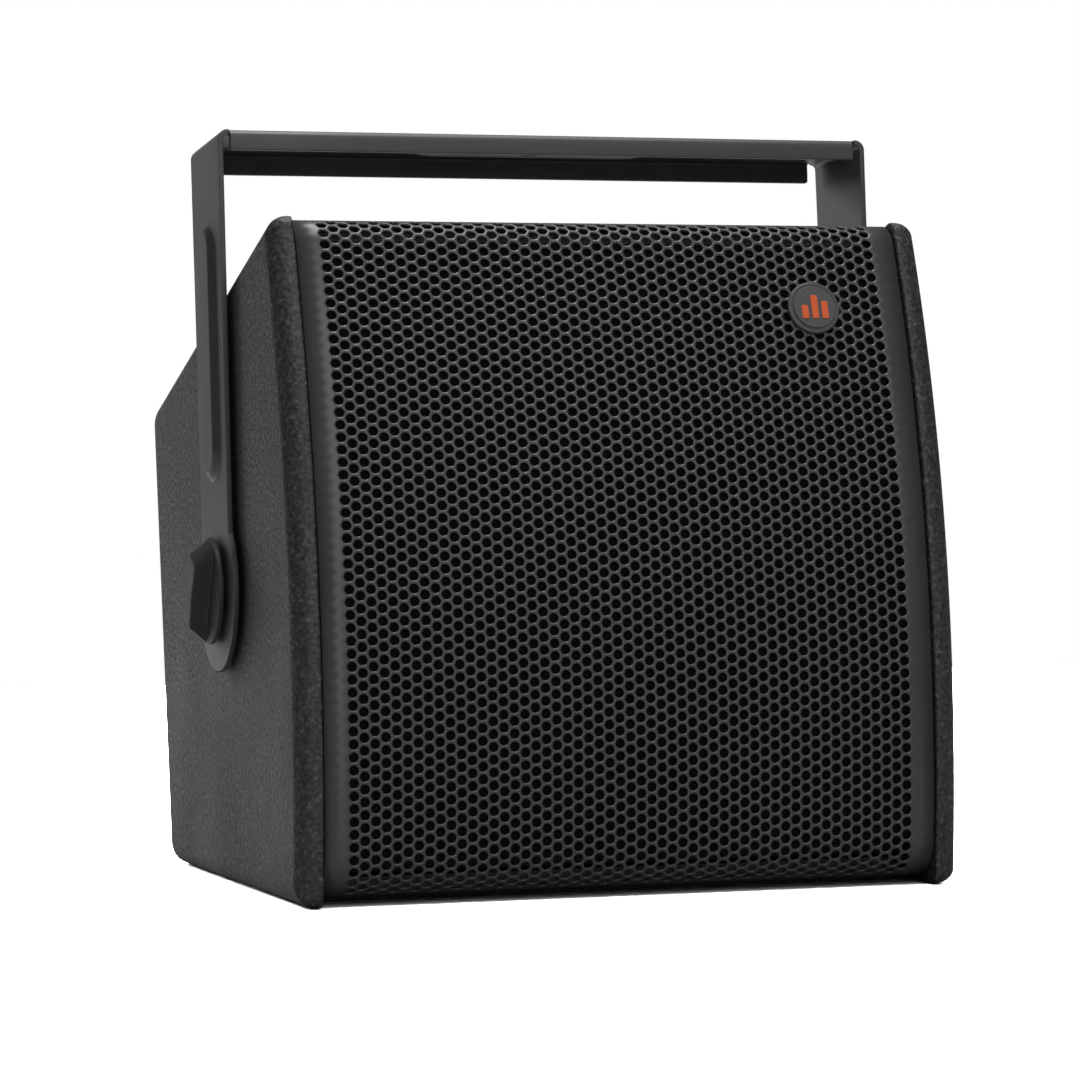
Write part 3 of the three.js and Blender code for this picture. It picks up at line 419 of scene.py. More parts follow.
def sideOutline(frontInset, restInset):
    arcRadius = frontRadius + cabinet["sideProud"] - frontInset
    corner = max(cabinet["frontCorner"] - max(frontInset, restInset), cabinet["leastCorner"])
    turn = {s: bendAngle(tapers[s], arcRadius - corner, corner + restInset) for s in (1, -1)}
    reach = arcRadius - corner
    middle = {s: (arcCentreY - reach * math.cos(turn[s]), s * reach * math.sin(turn[s])) for s in turn}
    full = cabinet["rearRadius"]
    rear, rearMiddle = full - restInset, rearY - full
    steps = cabinet["steps"]
    points = arc(*middle[1], corner, quarter - topTaper, math.pi - turn[1], steps["corner"])
    points += arc(arcCentreY, 0, arcRadius, math.pi - turn[1], math.pi + turn[-1], steps["front"])[1:-1]
    points += arc(*middle[-1], corner, math.pi + turn[-1], 3 * quarter + bottomTaper, steps["corner"])
    points += arc(rearMiddle, faceAt(-1, rearMiddle, full), rear, bottomTaper - quarter, 0, steps["rear"])
    points += arc(rearMiddle, faceAt(1, rearMiddle, full), rear, 0, quarter - topTaper, steps["rear"])
    return points


def makeSidePanel(name, node, side):
    rings = []

    def addRing(x, frontInset, restInset):
        rings.append([(side * x, y, z) for y, z in sideOutline(frontInset, restInset)])

    small, large, steps = cabinet["innerRound"], cabinet["edgeRound"], cabinet["steps"]
    for k in range(steps["inner"] + 1):
        turn = k / steps["inner"] * quarter
        addRing(innerHalf + small * (1 - math.cos(turn)), small * (1 - math.sin(turn)), 0)
    for k in range(steps["edge"] + 1):
        turn = k / steps["edge"] * quarter
        inset = large * (1 - math.cos(turn))
        addRing(halfWidth - large + large * math.sin(turn), inset, inset)
    addRing(halfWidth, large + 1, large + 1)
    points, faces = loft(rings, capped=False)
    count = len(rings[0])
    bore = roundRing(cabinet["bore"], 0, steps["bore"])
    ends = [[(side * x, y, z) for y, z, flat in bore] for x in (innerHalf, halfWidth)]
    loops = [
        (range(count), [ends[0]]),
        (range(len(points) - count, len(points)), [ends[1]]),
    ]
    points, faces = closeWithBores(points, faces, loops)
    makePiece(name, points, faces, "texturedPaint", cabinetPlace, "cabinet", [node])


makeSidePanel("leftSide", "left_side_panel", -1)
makeSidePanel("rightSide", "right_side_panel", 1)

grille = {
    "sheet": 1.5,
    "sideGap": 1,
    "flange": 22,
    "topBend": {"radius": 18.5, "sink": -1.8},
    "bottomBend": {"radius": 24.5, "sink": 3.5},
    "columns": 54,
    "rows": 55,
    "rowShift": 1.8,
    "pitch": 7,
    "hole": 5.6,
    "panelStep": 4,
    "seam": 0.2,
    "slotPlay": 1.5,
    "leastRebate": 0.1,
    "plainMargin": 0.4,
    "bendSteps": 10,
}
bends = {1: grille["topBend"], -1: grille["bottomBend"]}
for sign, bend in bends.items():
    bend["turn"] = bendAngle(tapers[sign], frontRadius - bend["radius"], bend["radius"] + bend["sink"])
    bend["y"] = arcCentreY - (frontRadius - bend["radius"]) * math.cos(bend["turn"])
    bend["z"] = (frontRadius - bend["radius"]) * math.sin(bend["turn"])
    bend["foot"] = bend["y"] + bend["radius"] * math.sin(tapers[sign])
    bend["end"] = bend["foot"] + grille["flange"] + grille["slotPlay"]
    bend["arcEnd"] = frontRadius * bend["turn"]
    bend["bendEnd"] = bend["arcEnd"] + bend["radius"] * (math.pi / 2 - bend["turn"] + tapers[sign])


# The top or bottom panel. Where the grille's flange is let in, a rebate ends in a small rounded lip.
def makeTaperedPanel(name, node, sign):
    bend = bends[sign]
    start, end = bend["y"] + grille["panelStep"], bend["end"]
    floor = bend["sink"] + grille["sheet"] + fitGap
    thick = cabinet["thickness"]
    full = cabinet["rearRadius"]
    lip, soft = 1, 0.3
    rearMiddle = rearY - full
    outline = [(start, faceAt(sign, start, thick)), (start, faceAt(sign, start, max(floor, 0)))]
    if floor > grille["leastRebate"]:
        outline += [
            (end, faceAt(sign, end, floor)),
            (end, faceAt(sign, end, lip)),
            (end + soft, faceAt(sign, end + soft, soft)),
            (end + lip, faceAt(sign, end + lip)),
        ]
    outline += arc(rearMiddle, faceAt(sign, rearMiddle, full), full, sign * (quarter - tapers[sign]), 0, 14)
    outline.append((rearY, faceAt(sign, rearY, thick)))
    reach = innerHalf + grille["seam"]
    rings = [[(x, y, z) for y, z in outline] for x in (-reach, reach)]
    makePiece(name, *loft(rings), "texturedPaint", cabinetPlace, "cabinet", [node])


makeTaperedPanel("topPanel", "top_panel", 1)
makeTaperedPanel("bottomPanel", "bottom_panel", -1)

dish = {
    "width": 112, "height": 64, "depth": 24, "wall": 2, "flange": 12, "drop": 78,
    "sheet": 2, "corner": 8, "socketSpacing": 48, "socketHole": 12.3, "holeSides": 48,
    "bottomRound": 3, "bottomSteps": 6, "lip": 1.2, "lipSteps": 5, "edgeRound": 0.8, "edgeSteps": 4,
}
dishPlace = cabinetPlace @ Matrix.Translation((0, 0, -dish["drop"]))


# A rectangle with rounded corners, standing across y.
def rectangle(halfX, halfZ, radius, y, steps=8):
    points = []
    for k, (signX, signZ) in enumerate(((1, 1), (-1, 1), (-1, -1), (1, -1))):
        centreX, centreZ = signX * (halfX - radius), signZ * (halfZ - radius)
        for x, z in arc(centreX, centreZ, radius, k * quarter, (k + 1) * quarter, steps):
            points.append((x, y, z))
    return points


def makeRearPanel():
    thick, seam = cabinet["thickness"], grille["seam"]
    top, bottom = (faceAt(sign, rearY, thick - seam) for sign in (1, -1))
    reach = innerHalf + seam
    holeX, holeZ = dish["width"] / 2 + fitGap, dish["height"] / 2 + fitGap
    outer = [(reach, top), (-reach, top), (-reach, bottom), (reach, bottom)]
    inner = [(sx * holeX, sz * holeZ - dish["drop"]) for sx, sz in ((1, 1), (-1, 1), (-1, -1), (1, -1))]
    rings = [
        [(x, y, z) for x, z in shape]
        for shape, y in ((outer, rearY), (outer, rearY - thick), (inner, rearY - thick), (inner, rearY))
    ]
    makePiece("rearPanel", *loft(rings, wrap=True), "texturedPaint", cabinetPlace, "cabinet",
              ["rear_panel"], weighted=False)


makeRearPanel()

print("sheet metal")


roundShare = 0.29  # how far a round of one unit stays off its sharp corner, measured along each side


# Thickens a flat mesh of (u, v, folded) corners, folded by a function, and rounds its rims.
def thickSheet(flat, faces, fold, thickness, rim=0.0):
    directed = {(a, b) for face in faces for a, b in zip(face, face[1:] + face[:1])}
    border = [(a, b) for a, b in directed if (b, a) not in directed]
    inward = {}
    for a, b in border:
        along = Vector((flat[b][0] - flat[a][0], flat[b][1] - flat[a][1])).normalized()
        for corner in (a, b):
            inward[corner] = inward.get(corner, Vector((0, 0))) + Vector((-along.y, along.x))
    soft = roundShare * rim
    levels = [(0, 0), (0, thickness)]
    if rim:
        levels = [(rim, 0), (soft, soft), (0, rim), (0, thickness - rim),
                  (soft, thickness - soft), (rim, thickness)]
    points, front, back, walls = [], {}, {}, {}
    for i, (u, v, folded) in enumerate(flat):
        if i in inward:
            push = inward[i] * (2 / max(inward[i].length_squared, 0.5))
            walls[i] = []
            for inset, depth in levels:
                walls[i].append(len(points))
                points.append(fold(u + push.x * inset, v + push.y * inset, folded, depth))
            front[i], back[i] = walls[i][0], walls[i][-1]
        else:
            front[i], back[i] = len(points), len(points) + 1
            points.append(fold(u, v, folded, 0))
            points.append(fold(u, v, folded, thickness))
    shapes = [tuple(front[i] for i in face) for face in faces]
    shapes += [tuple(back[i] for i in reversed(face)) for face in faces]
    for a, b in border:
        for k in range(len(levels) - 1):
            shapes.append((walls[a][k], walls[a][k + 1], walls[b][k + 1], walls[b][k]))
    return points, shapes


# s runs up the sheet from the middle of its arc, round the bend and along the flange.
def grilleFold(x, s, folded, depth):
    sign = 1 if s >= 0 else -1
    bend, taper, run = bends[sign], tapers[sign], abs(s)
    arcEnd, bendEnd = bend["arcEnd"], bend["bendEnd"]
    if run <= arcEnd:
        turn = run / frontRadius
        reach = frontRadius - depth
        return x, arcCentreY - reach * math.cos(turn), sign * reach * math.sin(turn)
    reach = bend["radius"] - depth
    direction = math.pi - bend["turn"] - (min(run, bendEnd) - arcEnd) / bend["radius"]
    past = max(run - bendEnd, 0)
    y = bend["y"] + reach * math.cos(direction) + past * math.cos(taper)
    z = bend["z"] + reach * math.sin(direction) - past * math.sin(taper)
    return x, y, sign * z


def makeGrille():
    pitch, columns, rows = grille["pitch"], grille["columns"], grille["rows"]
    step = pitch * math.sqrt(3) / 2
    cell, radius = pitch / math.sqrt(3), grille["hole"] / 2
    flat, known, faces = [], {}, []

    def corner(x, s):
        key = (round(x * 1000), round(s * 1000))
        if key not in known:
            known[key] = len(flat)
            flat.append((x, s, False))
        return known[key]

    def middleOf(i, j):
        shift = pitch / 4 if i % 2 else -pitch / 4
        return (i - (columns - 1) / 2) * step, (j - (rows - 1) / 2) * pitch + shift + grille["rowShift"]

    # one six-sided cell for each hole, and the hole a ring of twelve corners in it
    for i in range(columns):
        for j in range(rows):
            x, s = middleOf(i, j)
            around = [k * math.pi / 3 for k in range(6)]
            cellCorners = [corner(x + cell * math.cos(t), s + cell * math.sin(t)) for t in around]
            around = [k * math.pi / 6 for k in range(12)]
            rim = [corner(x + radius * math.cos(t), s + radius * math.sin(t)) for t in around]
            for k in range(6):
                here, after = cellCorners[k], cellCorners[(k + 1) % 6]
                faces.append((here, after, rim[2 * k + 1]))
                faces.append((here, rim[2 * k + 1], rim[2 * k]))
                faces.append((after, rim[(2 * k + 2) % 12], rim[2 * k + 1]))

    # plain strips along both sides
    reach = innerHalf - grille["sideGap"]
    for i, sideX in ((0, -reach), (columns - 1, reach)):
        outward = -1 if i == 0 else 1
        chain = []
        for j in range(rows):
            x, s = middleOf(i, j)
            chain += [(x + outward * cell / 2, s - pitch / 2), (x + outward * cell, s)]
        chain.append((x + outward * cell / 2, s + pitch / 2))
        for (x0, s0), (x1, s1) in zip(chain, chain[1:]):
            quad = (corner(sideX, s0), corner(x0, s0), corner(x1, s1), corner(sideX, s1))
            faces.append(quad if i == 0 else quad[::-1])

    # plain sheet from the last holes round each bend to the flange's end
    for sign in (1, -1):
        j = rows - 1 if sign > 0 else 0
        chain = []
        for i in range(columns):
            x, s = middleOf(i, j)
            chain += [(x - cell / 2, s + sign * pitch / 2), (x + cell / 2, s + sign * pitch / 2)]
        chain = [(-reach, chain[0][1]), *chain, (reach, chain[-1][1])]
        bendEnd, steps = bends[sign]["bendEnd"], grille["bendSteps"]
        first = max(abs(s) for x, s in chain) + grille["plainMargin"]
        levels = [first + (bendEnd - first) * k / steps for k in range(steps + 1)]
        levels += [bendEnd + grille["flange"] * k / 2 for k in (1, 2)]
        levels = [sign * level for level in levels]
        for (x0, s0), (x1, s1) in zip(chain, chain[1:]):
            low, high = (s0, s1), (levels[0], levels[0])
            for level in [*levels[1:], None]:
                quad = (corner(x0, low[0]), corner(x1, low[1]), corner(x1, high[1]), corner(x0, high[0]))
                faces.append(quad if sign > 0 else quad[::-1])
                low, high = high, (level, level)
    points, shapes = thickSheet(flat, faces, grilleFold, grille["sheet"])
    # smooth over the holes' rims, which are rolled in by the punch
    makePiece("perforatedGrille", points, shapes, "grilleCoat", cabinetPlace, "cabinet", ["grille"],
              crease=130, weighted=False)


makeGrille()

yoke = {
    "sheet": 3,
    "armOuter": 198.5,
    "top": 263.0,
    "bend": 6,
    "halfTop": 38,
    "halfLow": 35,
    "lobe": 47,
    "lobeFillet": 8,
    "flange": {-1: 12, 1: 14.5},
    "flangeBend": 4.5,
    "flangeCorner": 1.5,
    "flangeEnd": {-1: 191.4, 1: 189.5},
    "notchEnd": 191.9,
    "rib": {"length": 141, "width": 28, "middle": 138.5, "depth": 3.2, "slope": 4.5},
    "pad": {"length": 140, "width": 24, "depth": 2.5, "slope": 3},
    "bolt": 6.25,
    "stud": 6,
    "rim": 0.5,
    "lean": math.radians(4.2),
    "notch": 0.2,
    "lobeEnd": math.radians(-87),
}
# where the sheet's rows and columns lie: close around holes and pressings, wide apart elsewhere
yokeGrid = {
    "across": [1.5 * k for k in range(7)] + [10 + k for k in range(11)],
    "acrossShares": [0.2, 0.45, 0.75, 1],
    "aroundBolt": [1.5 * k for k in range(1, 7)],
    "bar": [20, 32, 44, 52] + [56 + k for k in range(19)] + [85, 100, 120, 140, 160, 175],
    "armHeights": ([240, 230, 220] + [215 - k for k in range(24)]
                   + [182, 170, 158, 146, 134, 122, 110, 98, 86]
                   + [84 - k for k in range(24)] + [52, 44]),
    "block": 6,
    "blockHalf": 9,
    "cornerSteps": 5,
    "bendSteps": 8,
    "filletSteps": 6,
    "tipSteps": 22,
    "flangeSteps": 3,
}
barHalf = yoke["armOuter"] - yoke["bend"]
bendRun = yoke["bend"] * math.pi / 2
flangeStart = yoke["halfTop"] - yoke["flangeBend"]
flangeRun = yoke["flangeBend"] * math.pi / 2


def heightAlong(u):
    return yoke["top"] - yoke["bend"] - (abs(u) - barHalf - bendRun)


def alongAt(height):
    return barHalf + bendRun + yoke["top"] - yoke["bend"] - height


# How far the sheet is pressed outwards: out on the arms' ribs, and in on the crossbar's pad.
def pressing(u, v):
    def stadium(shape, along):
        half = shape["width"] / 2
        past = max(abs(along) - (shape["length"] / 2 - half), 0)
        share = min(max((math.hypot(past, v) - half) / shape["slope"], 0), 1)
        return shape["depth"] * (1 - share * share * (3 - 2 * share))

    if abs(u) < barHalf:
        return -stadium(yoke["pad"], u)
    return stadium(yoke["rib"], heightAlong(u) - yoke["rib"]["middle"])


def yokeFold(u, v, folded, depth):
    side, run = (1 if u >= 0 else -1), abs(u)
    depth -= pressing(u, v) if not folded else 0
    if folded:
        past = abs(v) - flangeStart
        turn = min(past / yoke["flangeBend"], math.pi / 2)
        drop = max(past - flangeRun, 0)
        reach = yoke["flangeBend"] - depth
        y = math.copysign(flangeStart + reach * math.sin(turn), v)
        return u, y, yoke["top"] - yoke["flangeBend"] + reach * math.cos(turn) - drop
    if run <= barHalf:
        return u, v, yoke["top"] - depth
    if run <= barHalf + bendRun:
        turn = (run - barHalf) / yoke["bend"]
        reach = yoke["bend"] - depth
        x = side * (barHalf + reach * math.sin(turn))
        return x, v, yoke["top"] - yoke["bend"] + reach * math.cos(turn)
    return side * (yoke["armOuter"] - depth), v, heightAlong(u)


def makeYoke():
    block = yokeGrid["block"]

    def across(half):
        fixed = yokeGrid["across"]
        side = fixed + [fixed[-1] + share * (half - fixed[-1]) for share in yokeGrid["acrossShares"]]
        return [-v for v in reversed(side[1:])] + side

    # rows as (along, half width, scale of the columns), for the right half of the yoke
    corner, steps = yoke["flangeCorner"], yokeGrid["cornerSteps"]
    ends = set()
    for end in yoke["flangeEnd"].values():
        ends |= {end - corner + corner * math.sin(k / steps * quarter) for k in range(steps + 1)}
    alongBar = [*yokeGrid["aroundBolt"], *yokeGrid["bar"], *sorted(ends), yoke["notchEnd"]]
    rows = [(u, flangeStart, 1) for u in alongBar]
    rows.append((yoke["notchEnd"] + yoke["notch"], yoke["halfTop"], 1))
    steps = yokeGrid["bendSteps"]
    rows += [(barHalf + bendRun * k / steps, yoke["halfTop"], 1) for k in range(steps + 1)]

    # the arm, down to where its edge meets the lobe's fillet
    fillet, lobe = yoke["lobeFillet"], yoke["lobe"]
    filletV = yoke["halfLow"] + fillet
    filletW = math.sqrt((lobe + fillet) ** 2 - filletV ** 2)
    neck = math.atan2(filletW, filletV)
    for height in yokeGrid["armHeights"]:
        share = (height - filletW) / (yoke["top"] - filletW)
        half = yoke["halfLow"] + share * (yoke["halfTop"] - yoke["halfLow"])
        rows.append((alongAt(height), half, 1))
    steps = yokeGrid["filletSteps"]
    for k in range(steps):
        turn = neck * k / steps
        rows.append((alongAt(filletW - fillet * math.sin(turn)), filletV - fillet * math.cos(turn), 1))
    neckHalf = lobe * math.cos(neck)
    blockTurn = math.asin(yokeGrid["blockHalf"] / lobe)
    turns = [neck + (blockTurn - neck) * k / steps for k in range(steps)]
    turns += [blockTurn - blockTurn * k / block for k in range(2 * block + 1)]
    steps = yokeGrid["tipSteps"]
    turns += [-blockTurn + (yoke["lobeEnd"] + blockTurn) * k / steps for k in range(1, steps + 1)]
    for turn in turns:
        rows.append((alongAt(lobe * math.sin(turn)), neckHalf, math.cos(turn) / math.cos(neck)))

    right = rows
    rows = [(-u, half, scale) for u, half, scale in reversed(right)] + [(0, flangeStart, 1)] + right
    flat, grid, faces = [], [], []
    for u, half, scale in rows:
        grid.append([])
        for v in across(half):
            grid[-1].append(len(flat))
            flat.append((u, v * scale, False))

    # the square block around each hole is left out, and then filled with a ring of faces
    columns = len(grid[0])
    centre = columns // 2
    zero = len(right)
    studRow = zero + 1 + min(range(len(right)), key=lambda k: abs(alongAt(0) - right[k][0]))
    mirrorRow = 2 * zero - studRow
    holes = {zero: (0, yoke["bolt"]), studRow: (alongAt(0), yoke["stud"]),
             mirrorRow: (-alongAt(0), yoke["stud"])}

    def inHole(row, column):
        inside = centre - block <= column < centre + block
        return inside and any(middle - block <= row < middle + block for middle in holes)

    for r in range(len(rows) - 1):
        for c in range(columns - 1):
            if not inHole(r, c):
                faces.append((grid[r][c], grid[r + 1][c], grid[r + 1][c + 1], grid[r][c + 1]))
    for middle, (along, radius) in holes.items():
        low, high = middle - block, middle + block
        left, far = centre - block, centre + block
        loop = [grid[r][left] for r in range(low, high)]
        loop += [grid[high][c] for c in range(left, far)]
        loop += [grid[r][far] for r in range(high, low, -1)]
        loop += [grid[low][c] for c in range(far, left, -1)]
        circle = []
        for i in loop:
            turn = math.atan2(flat[i][1], flat[i][0] - along)
            circle.append(len(flat))
            flat.append((along + radius * math.cos(turn), radius * math.sin(turn), False))
        for i in range(len(loop)):
            j = (i + 1) % len(loop)
            faces.append((loop[i], loop[j], circle[j], circle[i]))

    for side, row in ((1, len(rows) - 1), (-1, 0)):
        tip = len(flat)
        flat.append((side * alongAt(-lobe), 0, False))
        for c in range(columns - 1):
            triangle = (grid[row][c], tip, grid[row][c + 1])
            faces.append(triangle if side > 0 else triangle[::-1])

    # the turned-down flanges, with rounded corners at their ends
    for side, end in yoke["flangeEnd"].items():
        straight = yoke["flange"][side] - yoke["flangeBend"]
        edge = 0 if side < 0 else columns - 1
        spread = []
        for r, (u, half, scale) in enumerate(rows):
            if abs(u) > end + 1e-6:
                continue
            past = max(abs(u) - (end - corner), 0)
            length = straight - corner + math.sqrt(max(corner ** 2 - past ** 2, 0))
            line = [grid[r][edge]]
            steps = yokeGrid["flangeSteps"]
            runs = [flangeRun * k / (2 * steps) for k in range(1, 2 * steps + 1)]
            runs += [flangeRun + length * k / steps for k in range(1, steps + 1)]
            for run in runs:
                line.append(len(flat))
                flat.append((u, side * (flangeStart + run), True))
            spread.append(line)
        for before, after in zip(spread, spread[1:]):
            for k in range(len(before) - 1):
                quad = (before[k], after[k], after[k + 1], before[k + 1])
                faces.append(quad if side > 0 else quad[::-1])
    points, shapes = thickSheet(flat, faces, yokeFold, yoke["sheet"], yoke["rim"])
    place = pivotPlace @ Matrix.Rotation(-yoke["lean"], 4, "X")
    makePiece("foldedYoke", points, shapes, "powderCoat", place, "yoke", ["yoke"])


makeYoke()

print("grille foam and badge")

foam = {
    "thickness": 8, "sideInset": 3, "round": 1.5, "relief": 0.15, "grain": 0.12, "edge": 6,
    "stepsUp": 90, "stepsAcross": 100,
}


def makeFoam():
    outer = frontRadius - grille["sheet"] - fitGap
    inner = outer - foam["thickness"]
    reach = innerHalf - grille["sideGap"] - foam["sideInset"]
    turns = {s: bends[s]["turn"] for s in (1, -1)}
    low, high, stepsUp = math.pi + turns[-1], math.pi - turns[1], foam["stepsUp"]
    front = arc(arcCentreY, 0, outer - foam["round"], high, low, stepsUp)
    back = arc(arcCentreY, 0, inner + foam["round"], low, high, stepsUp)
    steps = foam["stepsAcross"]
    rings = []
    for k in range(steps + 1):
        x = -reach + 2 * reach * k / steps
        swell = foam["round"] * (1 - min(1, (reach - abs(x)) / foam["edge"])) ** 2
        ring = []
        for edge, direction in ((front, 1), (back, -1)):
            for y, z in edge:
                away = Vector((y - arcCentreY, z)).normalized()
                lift = foam["round"] - swell
                lift -= foam["relief"] * (1 + noise.noise(Vector((x, y, z)) * foam["grain"]))
                ring.append((x, y + direction * away.x * lift, z + direction * away.y * lift))
        rings.append(ring)
    piece = makePiece("grilleFoam", *loft(rings), "acousticFoam", cabinetPlace, "cabinet",
                      ["grille_foam"], weighted=False)


makeFoam()

badge = {
    "radius": 15.5, "thickness": 2.2, "x": 122, "arc": 138, "edgeRound": 0.9, "step": 0.25, "stepWidth": 0.3,
    "carrier": 12.5, "carrierHeight": 0.4, "carrierEdge": 0.15,
    "bars": ((-6, 8), (0, 14), (6, 10.5)), "barWidth": 4, "barFoot": -7, "barHeight": 0.5,
    "barCorner": 0.7, "barEdge": 0.2, "barSink": 0.1,
}
badgeTurn = badge["arc"] / frontRadius
badgeReach = frontRadius + fitGap
badgePlace = cabinetPlace @ Matrix.Translation((
    badge["x"], arcCentreY - badgeReach * math.cos(badgeTurn), badgeReach * math.sin(badgeTurn),
)) @ Matrix.Rotation(math.pi / 2 - badgeTurn, 4, "X")


def makeBadge():
    radius, thick, soft, step = badge["radius"], badge["thickness"], badge["edgeRound"], badge["step"]
    outline = [(0, 0), (radius, 0), *arc(radius - soft, thick - soft, soft, 0, quarter, 6)]
    inner = radius - 2 * soft
    outline += [(inner, thick), (inner - badge["stepWidth"], thick - step), (0, thick - step)]
    makePiece("badgeDisc", *turned(outline), "badgePlastic", badgePlace, "cabinet", ["badge_disc"])
    carrier, edge = badge["carrier"], badge["carrierEdge"]
    foot = thick + fitGap
    top = foot + badge["carrierHeight"]
    disc = turned([(0, foot), (carrier, foot), (carrier, top - edge), (carrier - edge, top), (0, top)])
    makePiece("badgeCarrier", *disc, "badgePlastic", badgePlace, "cabinet")
    points, faces = [], []
    half, height = badge["barWidth"] / 2, badge["barHeight"]
    soft = badge["barEdge"]
    levels = ((0, top - badge["barSink"]), (0, top + height - soft),
              (0.3 * soft, top + height - 0.3 * soft), (soft, top + height))
    for x, length in badge["bars"]:
        middle = length / 2 + badge["barFoot"]
        rings = []
        for inset, z in levels:
            ring = rectangle(half - inset, length / 2 - inset, badge["barCorner"] - inset / 2, 0, 4)
            rings.append([(px + x, pz + middle, z) for px, py, pz in ring])
        barPoints, barFaces = loft(rings)
        faces += [tuple(i + len(points) for i in face) for face in barFaces]
        points += barPoints
    makePiece("badgeMark", points, faces, "badgeOrange", badgePlace, "cabinet", ["badge_mark"])


makeBadge()

print("screws")

screw = {
    "shank": 2.2, "tip": 0.7, "taper": 1.5, "socket": 1.6, "socketDepth": 1.2, "socketShare": 0.7,
    "chamfer": 0.15, "flat": 0.5, "cone": 0.4, "collar": 0.25, "dome": 0.55, "domeSteps": 6, "domeTurn": 0.8,
    "sides": 48,
}


# A button-head screw along +z, its head standing on z = 0, with a six-sided socket.
def screwShape(headRadius, head, length):
    sides, shank, hollow, chamfer = screw["sides"], screw["shank"], screw["socket"], screw["chamfer"]
    collar, dome, steps = screw["collar"], screw["dome"], screw["domeSteps"]

    def sixSided(radius, along):
        points = []
        for t in [2 * math.pi * i / sides for i in range(sides)]:
            past = (t + math.pi / 6) % (math.pi / 3) - math.pi / 6
            reach = radius / math.cos(past)
            points.append((reach * math.cos(t), reach * math.sin(t), along))
        return points

    profile = [(0, -length), (shank - screw["tip"], -length), (shank, -length + screw["taper"]), (shank, 0),
               (headRadius, 0), (headRadius, head * collar)]
    for k in range(1, steps + 1):
        t = k / steps * quarter * screw["domeTurn"]
        profile.append((headRadius * (1 - dome + dome * math.cos(t)),
                        head * (collar + (1 - collar) * math.sin(t))))
    profile.append((hollow + screw["flat"], head))
    depth = min(screw["socketDepth"], head * screw["socketShare"])
    rings = [roundRing(radius, along, sides) for radius, along in profile]
    rings += [sixSided(hollow + chamfer, head), sixSided(hollow, head - chamfer)]
    rings.append(sixSided(hollow, head - depth))
    rings.append(roundRing(0, head - depth - screw["cone"], sides))
    return loft(rings)


grilleScrews = {"x": 118, "back": 9, "radius": 4, "head": 1.6, "length": 12}


def makeGrilleScrews():
    number = 0
    for sign in (1, -1):
        for x in (-grilleScrews["x"], grilleScrews["x"]):
            number += 1
            y = bends[sign]["end"] - grilleScrews["back"]
            tilt = -topTaper if sign > 0 else math.pi + bottomTaper
            place = cabinetPlace @ Matrix.Translation((x, y, faceAt(sign, y)))
            place = place @ Matrix.Rotation(tilt, 4, "X") @ Matrix.Translation(
                (0, 0, fitGap - bends[sign]["sink"]))
            shape = screwShape(grilleScrews["radius"], grilleScrews["head"], grilleScrews["length"])
            makePiece(f"grilleScrew{number}", *shape, "zincSteel", place, "cabinet",
                      [f"grille_screw_{number}"])


makeGrilleScrews()

print("connector dish")


def makeDish():
    halfX, halfZ = dish["width"] / 2, dish["height"] / 2
    wall, corner = dish["wall"], dish["corner"]
    floor = rearY - dish["depth"]
    inside = floor + wall
    plateBack = rearY + fitGap
    plateFront = plateBack + dish["sheet"]
    innerX, innerZ = halfX - wall, halfZ - wall
    innerCorner, bottomRound, lip, soft = corner - wall, dish["bottomRound"], dish["lip"], dish["edgeRound"]
    rings, steps = [], dish["bottomSteps"]
    for k in range(steps + 1):
        t = k / steps * quarter
        inset = bottomRound * (1 - math.sin(t))
        y = inside + bottomRound * (1 - math.cos(t))
        rings.append(rectangle(innerX - inset, innerZ - inset, innerCorner - inset / 2, y))
    steps = dish["lipSteps"]
    for k in range(steps + 1):
        t = k / steps * quarter
        grow = lip * (1 - math.cos(t))
        rings.append(rectangle(innerX + grow, innerZ + grow, innerCorner + grow,
                               plateFront - lip + lip * math.sin(t)))
    outerX, outerZ = halfX + dish["flange"], halfZ + dish["flange"]
    for out, up in reversed(arc(0, 0, soft, 0, quarter, dish["edgeSteps"])):
        rings.append(rectangle(outerX - soft + out, outerZ - soft + out, corner, plateFront - soft + up))
    rings.append(rectangle(outerX, outerZ, corner, plateBack))
    rings.append(rectangle(halfX, halfZ, corner, plateBack))
    rings.append(rectangle(halfX, halfZ, corner, floor))
    points, faces = loft(rings, capped=False)
    count = len(rings[0])

    def circles(y):
        made = []
        for side in (-1, 1):
            ring = roundRing(dish["socketHole"], y, dish["holeSides"])
            made.append([(x + side * dish["socketSpacing"] / 2, y, z) for x, z, flat in ring])
        return made

    loops = [(range(count), circles(inside)),
             (range(len(points) - count, len(points)), circles(floor))]
    points, faces = closeWithBores(points, faces, loops)
    makePiece("connectorDish", points, faces, "mouldedPlastic", dishPlace, "cabinet",
              ["connector_dish"])


makeDish()

socket = {
    "well": 9.5, "radius": 12, "lip": 4, "rim": 3, "body": 26, "wellFloor": 6,
    "mouth": ((0.8, 0), (0.2, -0.3), (0, -1)), "post": 3.2, "postHeight": 16, "postFoot": 1, "postEdge": 0.8,
}


